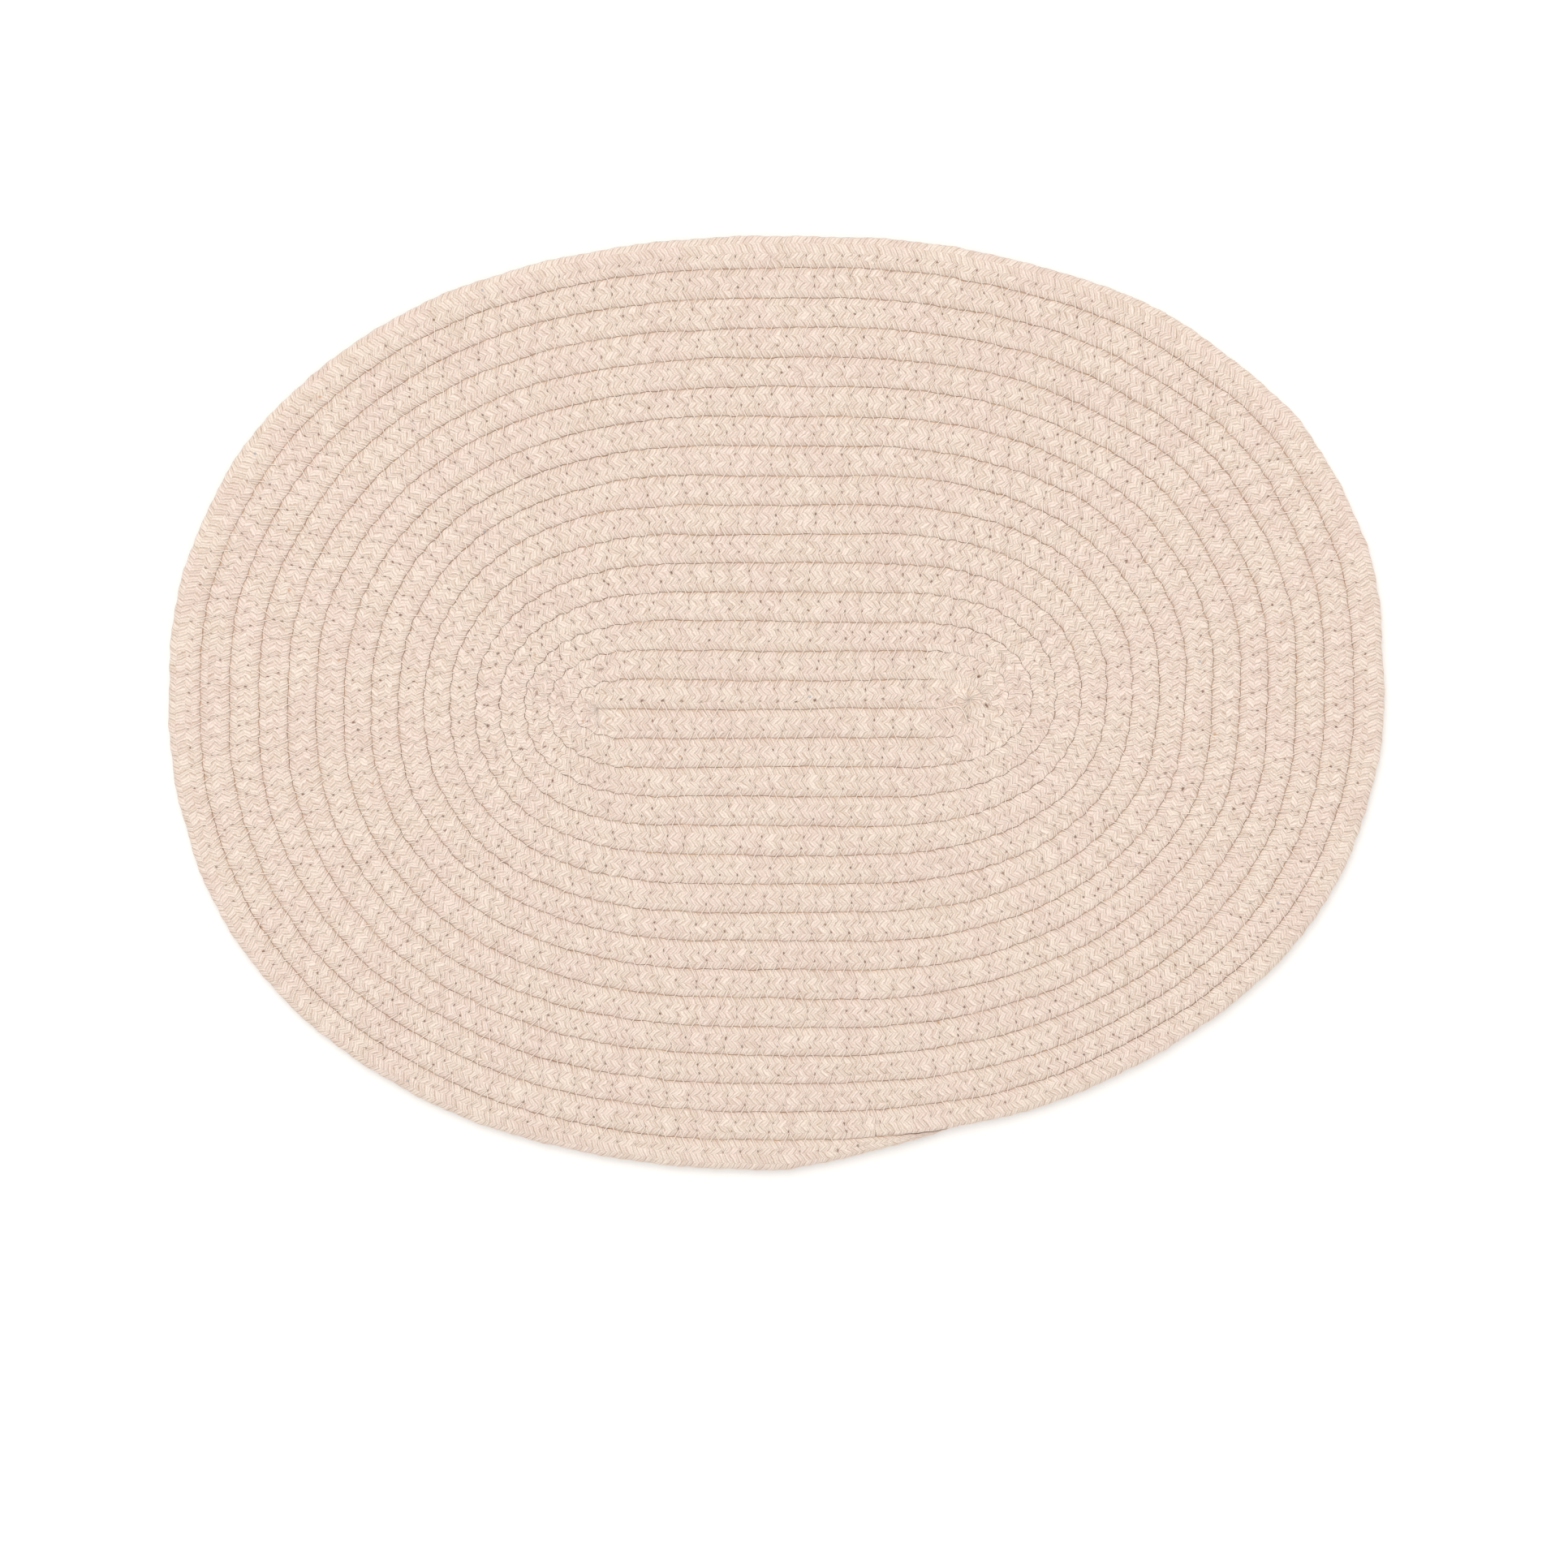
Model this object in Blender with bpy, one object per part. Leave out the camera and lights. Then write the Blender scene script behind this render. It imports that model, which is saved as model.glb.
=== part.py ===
"""Oval table mat: one braided cotton cord, coiled flat round two bends and sewn row to row.

The cord starts at the right end of the row above the middle seam, runs left, turns back
round the left bend and from there winds round itself. Each turn adds one row above the
start and one below it, and the whole step outwards is taken in the right-hand bends.
The mat lies on its underside, with its length along X and its first row's side at +Y.
"""

import math

import bmesh
import bpy
import numpy as np

# The mat, in metres.
MAT_THICKNESS = 0.0084
ROWS = 16  # seams above the middle one, the outer edge included
ROW_PITCH = 0.0108  # from seam to seam where the rows run along the mat's length

# The two bends, whose centres are on the middle seam.
LEFT_CENTRE = -0.0662
RIGHT_CENTRE = 0.0719
BEND_PITCH = 0.00874  # from seam to seam at the first bend, where the cord is pulled tight
BEND_GROWTH = 0.0000713  # what each seam's bend adds, for the square of its number
CENTRE_DRIFT = 0.0685  # how far the outermost bend's centre has moved to the middle
DRIFT_POWER = 0.61
SQUARENESS = 2.28  # exponent of a bend's curve: 2 is an ellipse, and more is squarer
LEFT_SLACK = 0.07  # what the outermost bends lose of it below the middle seam,
RIGHT_SLACK = 0.16  # where the last rows were sewn on flatter
SLACK_POWER = 8

# The cord's section.
GROOVE_DEPTH = 0.0016  # from the cord's crown down to the seam between two rows
SHOULDER = 0.16  # where the crown starts, as a share of the row's width
SHOULDER_DROP = 0.22  # how far the shoulder is down, as a share of the groove
ROUND_WIDTH = 0.005  # a row narrower than this, at the cord's ends, is also lower
RIM_BULGE = 0.0007  # how far the outer row's side stands past its seam line

# How finely the coil is divided.
BEND_STEPS = 24
RUN_STEPS = 2
TURN_STEPS = 2 * (BEND_STEPS + RUN_STEPS)
CAP_STEPS = BEND_STEPS // 2
TAPER_STEPS = 2  # the cord's end thins out over the first steps of the last right bend
LAST_STEP = ROWS * TURN_STEPS - BEND_STEPS + TAPER_STEPS

WELD = 0.00001

# Name, share of the row's width, and height of the top above the seam as a share of the groove.
TOP_LINES = (
    ("inner seam", 0.0, 0.0),
    ("inner shoulder", SHOULDER, 1.0 - SHOULDER_DROP),
    ("crown", 0.5, 1.0),
    ("outer shoulder", 1.0 - SHOULDER, 1.0 - SHOULDER_DROP),
    ("outer seam", 1.0, 0.0),
)
UNDER_LINES = (
    ("inner seam", 0.0, 0.0),
    ("inner edge of the flat", SHOULDER, 1.0),
    ("outer edge of the flat", 1.0 - SHOULDER, 1.0),
    ("outer seam", 1.0, 0.0),
)

COTTON = (0.83, 0.71, 0.60)


def bend_radius(ring):
    """How far a bend reaches from its centre along the mat's length."""
    return BEND_PITCH * ring + BEND_GROWTH * ring**2


def drift(ring):
    """How far a bend's centre has moved towards the middle of the mat."""
    return CENTRE_DRIFT * (min(ring, ROWS) / ROWS) ** DRIFT_POWER


def on_bend(ring, along, across, angle):
    """A point of a bend's curve about its own centre, at an angle from the mat's length."""
    c, s = math.cos(angle), math.sin(angle)
    power = SQUARENESS
    if s < 0:
        power -= (LEFT_SLACK if c < 0 else RIGHT_SLACK) * (ring / ROWS) ** SLACK_POWER
    x = math.copysign(abs(c) ** (2 / power), c)
    y = math.copysign(abs(s) ** (2 / power), s)
    return np.array((along * x, across * y))


def left_centre(ring):
    return np.array((LEFT_CENTRE + drift(ring), 0.0))


def right_centre(ring):
    """The centre of the bend that leads up into this seam, half a row above the middle."""
    return np.array((RIGHT_CENTRE - drift(max(ring, 1)), ROW_PITCH / 2))


def seam_point(step):
    """A point of the spiral seam. Step 0 is where the cord starts, on its outer side."""
    ring, place = divmod(step, TURN_STEPS)
    ring += 1
    height = np.array((0.0, ROW_PITCH * ring))
    if place < RUN_STEPS:
        start = right_centre(ring) * (1, 0)
        return start + (left_centre(ring) - start) * place / RUN_STEPS + height
    place -= RUN_STEPS
    if place < BEND_STEPS:
        angle = math.pi * (0.5 + place / BEND_STEPS)
        along = bend_radius(ring) + drift(ring) if ring else 0.0
        return left_centre(ring) + on_bend(ring, along, ROW_PITCH * ring, angle)
    place -= BEND_STEPS
    if place < RUN_STEPS:
        end = right_centre(ring + 1) * (1, 0)
        return left_centre(ring) + (end - left_centre(ring)) * place / RUN_STEPS - height
    place -= RUN_STEPS
    angle = math.pi * (place / BEND_STEPS - 0.5)
    along = bend_radius(ring + 0.5) + drift(ring + 1)
    across = ROW_PITCH * (ring + 0.5)
    return right_centre(ring + 1) + on_bend(ring + 1, along, across, angle)


def row_ends(step):
    """The inner and the outer edge of the cord at a step. Steps below 0 are its rounded start."""
    if step < 0:
        return seam_point(-BEND_STEPS - step), seam_point(step)
    inner, outer = seam_point(step - TURN_STEPS), seam_point(step)
    share = min(1.0, (LAST_STEP - step) / TAPER_STEPS)
    return inner, inner + (outer - inner) * share


def shaped_grid(bm, columns, lines, place):
    """Adds a grid of columns by lines and puts each of its points where place(column, line) says."""
    made = bmesh.ops.create_grid(bm, x_segments=columns - 1, y_segments=lines - 1, size=1.0)
    for number, vert in enumerate(made["verts"]):
        line, column = divmod(number, columns)
        vert.co = place(column, line)


def surface(bm, lines, seam_height, rise):
    """One side of the coil. rise is the height from the seams to the crowns, with its sign."""
    edges = [row_ends(step) for step in range(-CAP_STEPS, LAST_STEP + 1)]

    def place(column, line):
        inner, outer = edges[column]
        share, height = lines[line][1:]
        fullness = min(1.0, float(np.linalg.norm(outer - inner)) / ROUND_WIDTH)
        x, y = inner + (outer - inner) * share
        return x, y, seam_height + rise * height * fullness

    shaped_grid(bm, len(edges), len(lines), place)


def rim(bm):
    """The outer row's side, from the upper seam line out to the bulge and in to the lower one."""
    loop = np.array([row_ends(step)[1] for step in range(LAST_STEP - TURN_STEPS, LAST_STEP)])
    along = np.roll(loop, -1, axis=0) - np.roll(loop, 1, axis=0)
    outward = np.column_stack((along[:, 1], -along[:, 0]))
    outward /= np.linalg.norm(outward, axis=1)[:, None]
    levels = (
        (MAT_THICKNESS - GROOVE_DEPTH, 0.0),
        (MAT_THICKNESS / 2, RIM_BULGE),
        (GROOVE_DEPTH, 0.0),
    )

    def place(column, line):
        height, bulge = levels[line]
        number = column % len(loop)
        # The coil winds anticlockwise, so its right-hand side is outside.
        x, y = loop[number] + outward[number] * bulge
        return x, y, height

    shaped_grid(bm, len(loop) + 1, len(levels), place)


def coiled_mat():
    """The whole mat as one closed solid, standing on its underside about its middle."""
    bm = bmesh.new()
    surface(bm, TOP_LINES, MAT_THICKNESS - GROOVE_DEPTH, GROOVE_DEPTH)
    surface(bm, UNDER_LINES, GROOVE_DEPTH, -GROOVE_DEPTH)
    rim(bm)
    bmesh.ops.remove_doubles(bm, verts=bm.verts, dist=WELD)
    bmesh.ops.dissolve_degenerate(bm, edges=bm.edges, dist=WELD)
    points = np.array([vert.co for vert in bm.verts])
    middle = (points.min(axis=0) + points.max(axis=0)) / 2
    bmesh.ops.translate(bm, verts=bm.verts, vec=(-middle[0], -middle[1], 0.0))
    bmesh.ops.recalc_face_normals(bm, faces=bm.faces)
    mesh = bpy.data.meshes.new("coiled_mat")
    bm.to_mesh(mesh)
    bm.free()
    mesh.shade_smooth()
    mesh.set_sharp_from_angle(angle=math.radians(35))
    return mesh


def cotton():
    """Unbleached cotton: matt, warm cream."""
    material = bpy.data.materials.new("unbleached_cotton")
    material.use_nodes = True
    shader = material.node_tree.nodes["Principled BSDF"]
    shader.inputs["Base Color"].default_value = (*COTTON, 1.0)
    shader.inputs["Roughness"].default_value = 0.95
    shader.inputs["Metallic"].default_value = 0.0
    return material


def main():
    for obj in list(bpy.data.objects):
        bpy.data.objects.remove(obj)
    parts = bpy.data.collections.new("coiled_placemat")
    bpy.context.scene.collection.children.link(parts)
    mat = bpy.data.objects.new("coiled_mat", coiled_mat())
    mat.data.materials.append(cotton())
    parts.objects.link(mat)


main()
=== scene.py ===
"""Oval table mat of undyed braided cotton cord, coiled flat and sewn row to row.

Lengths are in metres unless a name or a note says otherwise. The mat lies on its underside with
its length along X, its first row's side towards +Y and its upper face up Z.
"""

from __future__ import annotations

import logging
import math
from collections.abc import Callable
from dataclasses import dataclass, field, replace
from enum import Enum
from functools import partial

import bmesh
import bpy
import numpy as np
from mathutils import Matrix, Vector


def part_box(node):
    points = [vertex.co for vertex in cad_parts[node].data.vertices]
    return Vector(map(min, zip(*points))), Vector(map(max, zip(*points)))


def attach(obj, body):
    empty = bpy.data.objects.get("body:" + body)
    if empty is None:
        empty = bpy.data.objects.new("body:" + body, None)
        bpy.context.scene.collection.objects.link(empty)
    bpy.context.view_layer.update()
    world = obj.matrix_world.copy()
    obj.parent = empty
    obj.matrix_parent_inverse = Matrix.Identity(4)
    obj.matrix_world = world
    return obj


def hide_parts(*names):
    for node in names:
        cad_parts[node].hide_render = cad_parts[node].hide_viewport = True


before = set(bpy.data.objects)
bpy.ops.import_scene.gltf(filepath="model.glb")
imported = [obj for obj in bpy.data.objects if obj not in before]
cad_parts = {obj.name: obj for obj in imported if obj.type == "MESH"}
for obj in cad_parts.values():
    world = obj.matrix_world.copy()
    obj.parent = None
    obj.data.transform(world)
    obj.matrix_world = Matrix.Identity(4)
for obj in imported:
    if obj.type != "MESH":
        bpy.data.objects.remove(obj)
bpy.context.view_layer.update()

LOG = logging.getLogger("coiled_mat")
MM = 0.001
BODY = "root"
NODE = "coiled_mat"
BRAID_MAP = "braid"
NEEDLE_MAPS = ("needle_inner", "needle_outer")
TWIST_MAP = "twist"
WELD = MM / 1000

Socket = bpy.types.NodeSocket
Numbers = np.ndarray  # of the lines or the stations of a tube
Painter = Callable[[Numbers, Numbers, Numbers, Numbers], np.ndarray]


# ---- The coil ----


@dataclass(frozen=True)
class Coil:
    """The flat spiral that the cord is laid in, with the same sizes as the solid.

    A place on it is told in steps. A turn is a run to the left above the middle seam, the left
    bend, a run to the right below it and the right bend. Step 0 is where the cord's first run
    starts, and the steps before it go round its end.
    """

    thickness: float = 0.0084
    rows: int = 16
    row_pitch: float = 0.0108
    left_centre: float = -0.0662  # X of the first bends' centres
    right_centre: float = 0.0719
    bend_pitch: float = 0.00874  # of the rows where they cross the mat's length
    bend_growth: float = 0.0000713
    centre_drift: float = 0.0685  # how far the last bends' centres have moved inwards
    drift_power: float = 0.61
    squareness: float = 2.28  # exponent of a bend's curve: 2 is an ellipse, and more is squarer
    left_slack: float = 0.07  # how much less square the last bends are below the middle
    right_slack: float = 0.16
    slack_power: float = 8.0
    bend_steps: int = 24
    run_steps: int = 2
    taper_steps: int = 2  # in which the cord's outer end thins out

    @property
    def turn(self) -> int:
        """The steps of one turn."""
        return 2 * (self.bend_steps + self.run_steps)

    @property
    def first(self) -> int:
        """The step at the tip of the cord's start."""
        return -self.bend_steps // 2

    @property
    def last(self) -> int:
        """The step where the cord's outer end has thinned out."""
        return self.rows * self.turn - self.bend_steps + self.taper_steps

    def bend_radius(self, ring: np.ndarray) -> np.ndarray:
        """How far a bend reaches from its centre along the mat's length."""
        return self.bend_pitch * ring + self.bend_growth * ring**2

    def drift(self, ring: np.ndarray) -> np.ndarray:
        """How far a bend's centre has moved towards the middle of the mat."""
        return self.centre_drift * (np.clip(ring, 0, self.rows) / self.rows) ** self.drift_power

    def on_bend(
        self, ring: np.ndarray, along: np.ndarray, across: np.ndarray, angle: np.ndarray
    ) -> tuple[np.ndarray, np.ndarray]:
        """Points of bends' curves about their own centres.

        Args:
            ring: number of the ring, which may be a half.
            along: the bend's reach along the mat's length.
            across: its reach across the mat.
            angle: where on the bend, from the mat's length.

        Returns:
            The points' X and Y.
        """
        c, s = np.cos(angle), np.sin(angle)
        slack = np.where(c < 0, self.left_slack, self.right_slack)
        power = self.squareness - (s < 0) * slack * (ring / self.rows) ** self.slack_power
        x = np.copysign(np.abs(c) ** (2 / power), c)
        y = np.copysign(np.abs(s) ** (2 / power), s)
        return along * x, across * y

    def seam(self, step: np.ndarray) -> np.ndarray:
        """Points of the spiral seam on the cord's outer side.

        Args:
            step: the places, in steps.

        Returns:
            One row of X and Y for each place.
        """
        ring = np.floor(step / self.turn)
        place = step - ring * self.turn
        ring = ring + 1
        bend, run = self.bend_steps, self.run_steps
        left = self.left_centre + self.drift(ring)
        right = self.right_centre - self.drift(np.maximum(ring, 1))
        onward = self.right_centre - self.drift(np.maximum(ring + 1, 1))
        height = self.row_pitch * ring
        upper = right + (left - right) * place / run
        reach = np.where(ring > 0, self.bend_radius(ring) + self.drift(ring), 0.0)
        angle = np.pi * (0.5 + (place - run) / bend)
        left_x, left_y = self.on_bend(ring, reach, height, angle)
        lower = left + (onward - left) * (place - run - bend) / run
        reach = self.bend_radius(ring + 0.5) + self.drift(ring + 1)
        angle = np.pi * ((place - 2 * run - bend) / bend - 0.5)
        right_x, right_y = self.on_bend(ring + 1, reach, self.row_pitch * (ring + 0.5), angle)
        parts = [place < run, place < run + bend, place < 2 * run + bend]
        x = np.select(parts, [upper, left + left_x, lower], onward + right_x)
        y = np.select(parts, [height, left_y, -height], right_y + self.row_pitch / 2)
        return np.column_stack((x, y))


@dataclass(frozen=True)
class Unevenness:
    """How far hand-guided sewing leaves the seams from their even places."""

    waves: tuple[tuple[float, float], ...] = (  # each wave's length and height
        (0.150, 0.00034),
        (0.060, 0.00026),
        (0.023, 0.00016),
        (0.009, 0.00009),
    )
    scallop: float = 0.00010  # how far each zigzag pulls a seam aside,
    bend_scallop: float = 0.00055  # and how much further in the tightest bends
    directions: int = 5  # of each wave
    seed: int = 11

    def at(self, points: np.ndarray) -> np.ndarray:
        """How far points lie from their even places.

        Args:
            points: X and Y on the last axis.

        Returns:
            X and Y for each point.
        """
        draw = np.random.default_rng(self.seed)
        shift = np.zeros_like(points)
        for length, size in self.waves:
            for _ in range(self.directions):
                turn, phase, push = draw.uniform(0, 2 * np.pi, 3)
                ray = np.array((math.cos(turn), math.sin(turn)))
                wave = np.sin(2 * np.pi * (points @ ray) / length + phase)
                aim = np.array((math.cos(push), math.sin(push)))
                shift += wave[..., None] * aim * size / math.sqrt(self.directions / 2)
        return shift


@dataclass(frozen=True)
class Needle:
    """The zigzag that joins two rows: where its needle goes through them."""

    zigzag: float = 0.0069  # along the seam
    outward: float = 0.0042  # from the seam to the holes in the row outside it
    inward: float = 0.00315  # and in the row inside it
    stray: float = 0.00022  # how far a hole strays across the row
    # How the zigzags bunch and spread: each wave's length, and its height in zigzags
    sway: tuple[tuple[float, float], ...] = ((0.031, 0.045), (0.0127, 0.014), (0.141, 0.25))
    draws: int = 8192
    seed: int = 5

    def count(self, along: np.ndarray) -> np.ndarray:
        """Counts the zigzags, which a hand guides a little faster or slower by turns.

        Args:
            along: lengths along the seam from where the sewing starts.

        Returns:
            How many have been sewn at each of them.
        """
        count = along / self.zigzag
        for number, (length, size) in enumerate(self.sway):
            count = count + size * np.sin(2 * np.pi * along / length + number)
        return count

    def strayed(self, hole: np.ndarray) -> np.ndarray:
        """How far across the row holes stray, by twice their number on the seam."""
        drawn = np.random.default_rng(self.seed).normal(0.0, self.stray, self.draws)
        return drawn[np.asarray(hole, int) % self.draws]


@dataclass(frozen=True)
class Pucker:
    """Where the first stitches draw in the cord's cut start, so that all round it puckers."""

    centre: tuple[float, float] = (0.0708, 0.0036)
    reach: float = 0.0048
    pinch: float = 0.30  # share of the way to the middle that the nearest points are drawn
    depth: float = 0.0011
    depth_reach: float = 0.0021
    folds: int = 13
    fold_depth: float = 0.00030
    pressed_reach: float = 0.0105
    thickness: float = Coil.thickness

    def pressed(self, points: np.ndarray) -> np.ndarray:
        """How hard the rows are pressed together: 1 at the pucker and 0 far from it."""
        return np.exp(-self.square(points) / (2 * self.pressed_reach**2))

    def square(self, points: np.ndarray) -> np.ndarray:
        """The distance from the middle, squared."""
        return ((points[..., :2] - np.array(self.centre)) ** 2).sum(axis=-1)

    def drawn(self, points: np.ndarray) -> np.ndarray:
        """Draws points in towards the pucker.

        Args:
            points: X, Y and Z on the last axis, as if there were no pucker.

        Returns:
            The points where the pucker leaves them.
        """
        off = points[..., :2] - np.array(self.centre)
        square = self.square(points)
        near = np.exp(-square / (2 * self.reach**2))
        out = points.copy()
        out[..., :2] -= off * (self.pinch * near)[..., None]
        fold = np.sin(self.folds * np.arctan2(off[..., 1], off[..., 0])) * self.fold_depth
        ring = near * np.clip(square / self.depth_reach**2, 0, 1)
        down = self.depth * np.exp(-square / (2 * self.depth_reach**2)) - fold * ring
        out[..., 2] -= down * np.clip(points[..., 2] / self.thickness * 2 - 1, 0, 1)
        return out


@dataclass
class Rows:
    """The laid cord: where its edges are at every place along it, and how its seams are sewn."""

    coil: Coil
    unevenness: Unevenness = Unevenness()
    needle: Needle = Needle()
    pucker: Pucker = Pucker()
    fine: float = 1 / 64  # of a step, between the places of the seams that are worked out
    pace: float = 0.0005  # between the places that are kept along the cord
    tries: int = 60  # how many places of an edge are tried on either side of the likely one,
    try_pace: float = 0.00025  # how far apart they are,
    try_cost: float = 0.02  # and how much worse each metre off makes them
    sure: float = 0.3  # how fast an edge must run past the right place for it to be trusted
    evened: int = 9  # how many neighbouring places an edge is averaged over
    easing: float = 4.5  # turns of the coil in which its bends get about a third as tight
    unsewn: float = 1.1  # steps of the last seam that have no sewing, where the end gets thin
    is_sewn: float = 0.99  # a place is sewn where it is at least this near to sewn ones

    def __post_init__(self) -> None:
        """Lays the cord."""
        coil = self.coil
        self.seam_step = np.arange(-coil.turn, coil.last + self.fine, self.fine)
        even = coil.seam(self.seam_step)
        outline = even[self.seam_step >= coil.last - coil.turn]
        low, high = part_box(NODE)
        centre = np.array(((low.x + high.x) / 2, (low.y + high.y) / 2))
        self.seam = even + self.unevenness.at(even) + centre
        self.seam -= (outline.min(axis=0) + outline.max(axis=0)) / 2
        self.seam += self.scallops()
        sewn = (self.seam_step >= self.first_sewn) & (self.seam_step <= self.last_sewn)
        self.sewn_step = self.seam_step[sewn]
        self.sewn_along = lengths(self.seam[sewn])
        self.sewn_count = self.needle.count(self.sewn_along)
        self.lay(np.arange(coil.first, coil.last + self.fine / 2, self.fine))

    def lay(self, step: np.ndarray) -> None:
        """Works out the cord's edges, square to its middle, and how its seams are sewn there.

        Args:
            step: all of the cord, finely divided.
        """
        coil = self.coil
        inner = self.seam_at(self.inside_of(step))
        thinned = np.clip((coil.last - step) / coil.taper_steps, 0.0, 1.0)
        outer = inner + (self.seam_at(step) - inner) * thinned[:, None]
        middle = (inner + outer) / 2
        run = lengths(middle)
        self.length = float(run[-1])
        self.along = np.arange(0.0, self.length, self.pace)
        self.step = np.interp(self.along, run, step)
        middle = interpolated(self.along, run, middle)
        onward = np.gradient(middle, axis=0)
        onward /= np.linalg.norm(onward, axis=1)[:, None]
        self.inner, inner_step = self.square_to(middle, onward, inner, step)
        self.outer, outer_step = self.square_to(middle, onward, outer, step)
        self.width = np.linalg.norm(self.outer - self.inner, axis=1)
        # The first run lies on the inner side of its seam, folded back against the next row.
        folded = self.step < coil.run_steps
        pivot = coil.run_steps + coil.bend_steps
        wound = (self.step > pivot) & (self.step <= self.last_sewn + coil.turn)
        self.inner_sewn = (folded | wound).astype(float)
        self.outer_sewn = (self.step <= self.last_sewn).astype(float)
        kept = np.where(
            folded, np.minimum(inner_step, coil.run_steps), np.maximum(inner_step, pivot)
        )
        self.inner_count = self.stitches(self.inside_of(kept)) + 0.5 * folded
        self.outer_count = self.stitches(outer_step) + 0.5
        self.inner_reach = np.where(folded, self.needle.inward, self.outward(self.step))

    def outward(self, step: np.ndarray) -> np.ndarray:
        """How far from its inner seam the cord is sewn: at most to its middle where it is thin."""
        return np.minimum(self.needle.outward, 0.5 * np.interp(step, self.step, self.width))

    def square_to(
        self, middle: np.ndarray, onward: np.ndarray, edge: np.ndarray, step: np.ndarray
    ) -> tuple[np.ndarray, np.ndarray]:
        """Finds where lines square to the cord's middle cross one of its edges.

        Args:
            middle: places of the cord's middle, at this object's lengths along it.
            onward: which way the cord runs there.
            edge: the edge's places.
            step: the edge's steps.

        Returns:
            The edge's places across from the middle's, and their steps.
        """
        run = lengths(edge)
        window = np.arange(-self.tries, self.tries + 1) * self.try_pace
        at = np.clip(np.interp(self.step, step, run)[:, None] + window, 0.0, run[-1])
        off = interpolated(at, run, edge) - middle[:, None]
        ahead = (off * onward[:, None]).sum(axis=-1)
        best = np.argmin(np.abs(ahead) + self.try_cost * np.abs(window), axis=1)[:, None]
        best = np.clip(best, 1, len(window) - 2)
        here, before, after = (np.take_along_axis(ahead, best + n, 1)[:, 0] for n in (0, -1, 1))
        slope = (after - before) / (2 * self.try_pace)
        nearer = here / np.where(slope == 0, 1, slope)
        found = np.take_along_axis(at, best, 1)[:, 0]
        found = found - np.where(np.abs(slope) > self.sure, nearer, 0.0)
        found = np.maximum.accumulate(np.clip(found, 0.0, run[-1]))
        wide = np.pad(found, self.evened // 2, mode="edge")
        found = np.convolve(wide, np.ones(self.evened) / self.evened, mode="valid")
        return interpolated(found, run, edge), np.interp(found, run, step)

    def scallops(self) -> np.ndarray:
        """How far the zigzag pulls its seam from side to side, most where the cord turns sharply.

        Returns:
            A row of X and Y for each place of the seam.
        """
        along = lengths(self.seam)
        count = self.needle.count(along - np.interp(self.first_sewn, self.seam_step, along))
        tight = self.tightness(self.seam_step)
        size = self.unevenness.scallop + self.unevenness.bend_scallop * tight
        wave = size * np.cos(2 * np.pi * count) * (self.seam_step > 0)
        return asides(self.seam) * wave[:, None]

    def bentness(self, step: np.ndarray) -> np.ndarray:
        """0 on every run of the cord and 1 in the middle of every bend."""
        place = step % (self.coil.turn / 2) - self.coil.run_steps
        return np.sqrt(np.sin(np.pi * np.clip(place / self.coil.bend_steps, 0, 1)))

    def tightness(self, step: np.ndarray) -> np.ndarray:
        """How sharply the cord turns: 1 in the middle of the first bends and 0 on every run."""
        turns = np.maximum(step, 0) / self.coil.turn
        return self.bentness(step) * np.exp(-turns / self.easing)

    @property
    def first_sewn(self) -> int:
        """The step of the seam where the sewing starts, at the left end of the middle seam."""
        return -self.coil.bend_steps - self.coil.run_steps

    @property
    def last_sewn(self) -> float:
        """The step of the seam where the sewing ends, before the cord's end gets too thin."""
        return self.coil.last - self.coil.turn - self.unsewn

    def inside_of(self, step: np.ndarray) -> np.ndarray:
        """The seam's steps on the cord's inner side, which its first run shares with its start."""
        folded = step < self.coil.run_steps
        return np.where(folded, -self.coil.bend_steps - step, step - self.coil.turn)

    def seam_at(self, step: np.ndarray) -> np.ndarray:
        """X and Y of places of the seam."""
        return interpolated(step, self.seam_step, self.seam)

    def outward_at(self, step: np.ndarray) -> np.ndarray:
        """Which way is outward at places of the seam."""
        return interpolated(step, self.seam_step, asides(self.seam))

    def step_at(self, along: np.ndarray) -> np.ndarray:
        """The steps at lengths along the cord."""
        return np.interp(along, self.along, self.step)

    def along_at(self, step: float) -> float:
        """The length along the cord at a step."""
        return float(np.interp(step, self.step, self.along))

    def on_row(self, along: np.ndarray, share: np.ndarray | float) -> np.ndarray:
        """X and Y of places of the cord, share 0 being its inner edge and 1 its outer."""
        inner, outer = (interpolated(along, self.along, edge) for edge in (self.inner, self.outer))
        return inner + (outer - inner) * np.asarray(share)[..., None]

    def width_at(self, along: np.ndarray) -> np.ndarray:
        """How wide the cord is."""
        return np.interp(along, self.along, self.width)

    def stitches(self, seam_step: np.ndarray) -> np.ndarray:
        """How many zigzags have been sewn at places of the seam."""
        return np.interp(seam_step, self.sewn_step, self.sewn_count)

    def step_of_stitch(self, count: np.ndarray) -> np.ndarray:
        """The seam's steps where the zigzag has that count."""
        return np.interp(count, self.sewn_count, self.sewn_step)

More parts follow.
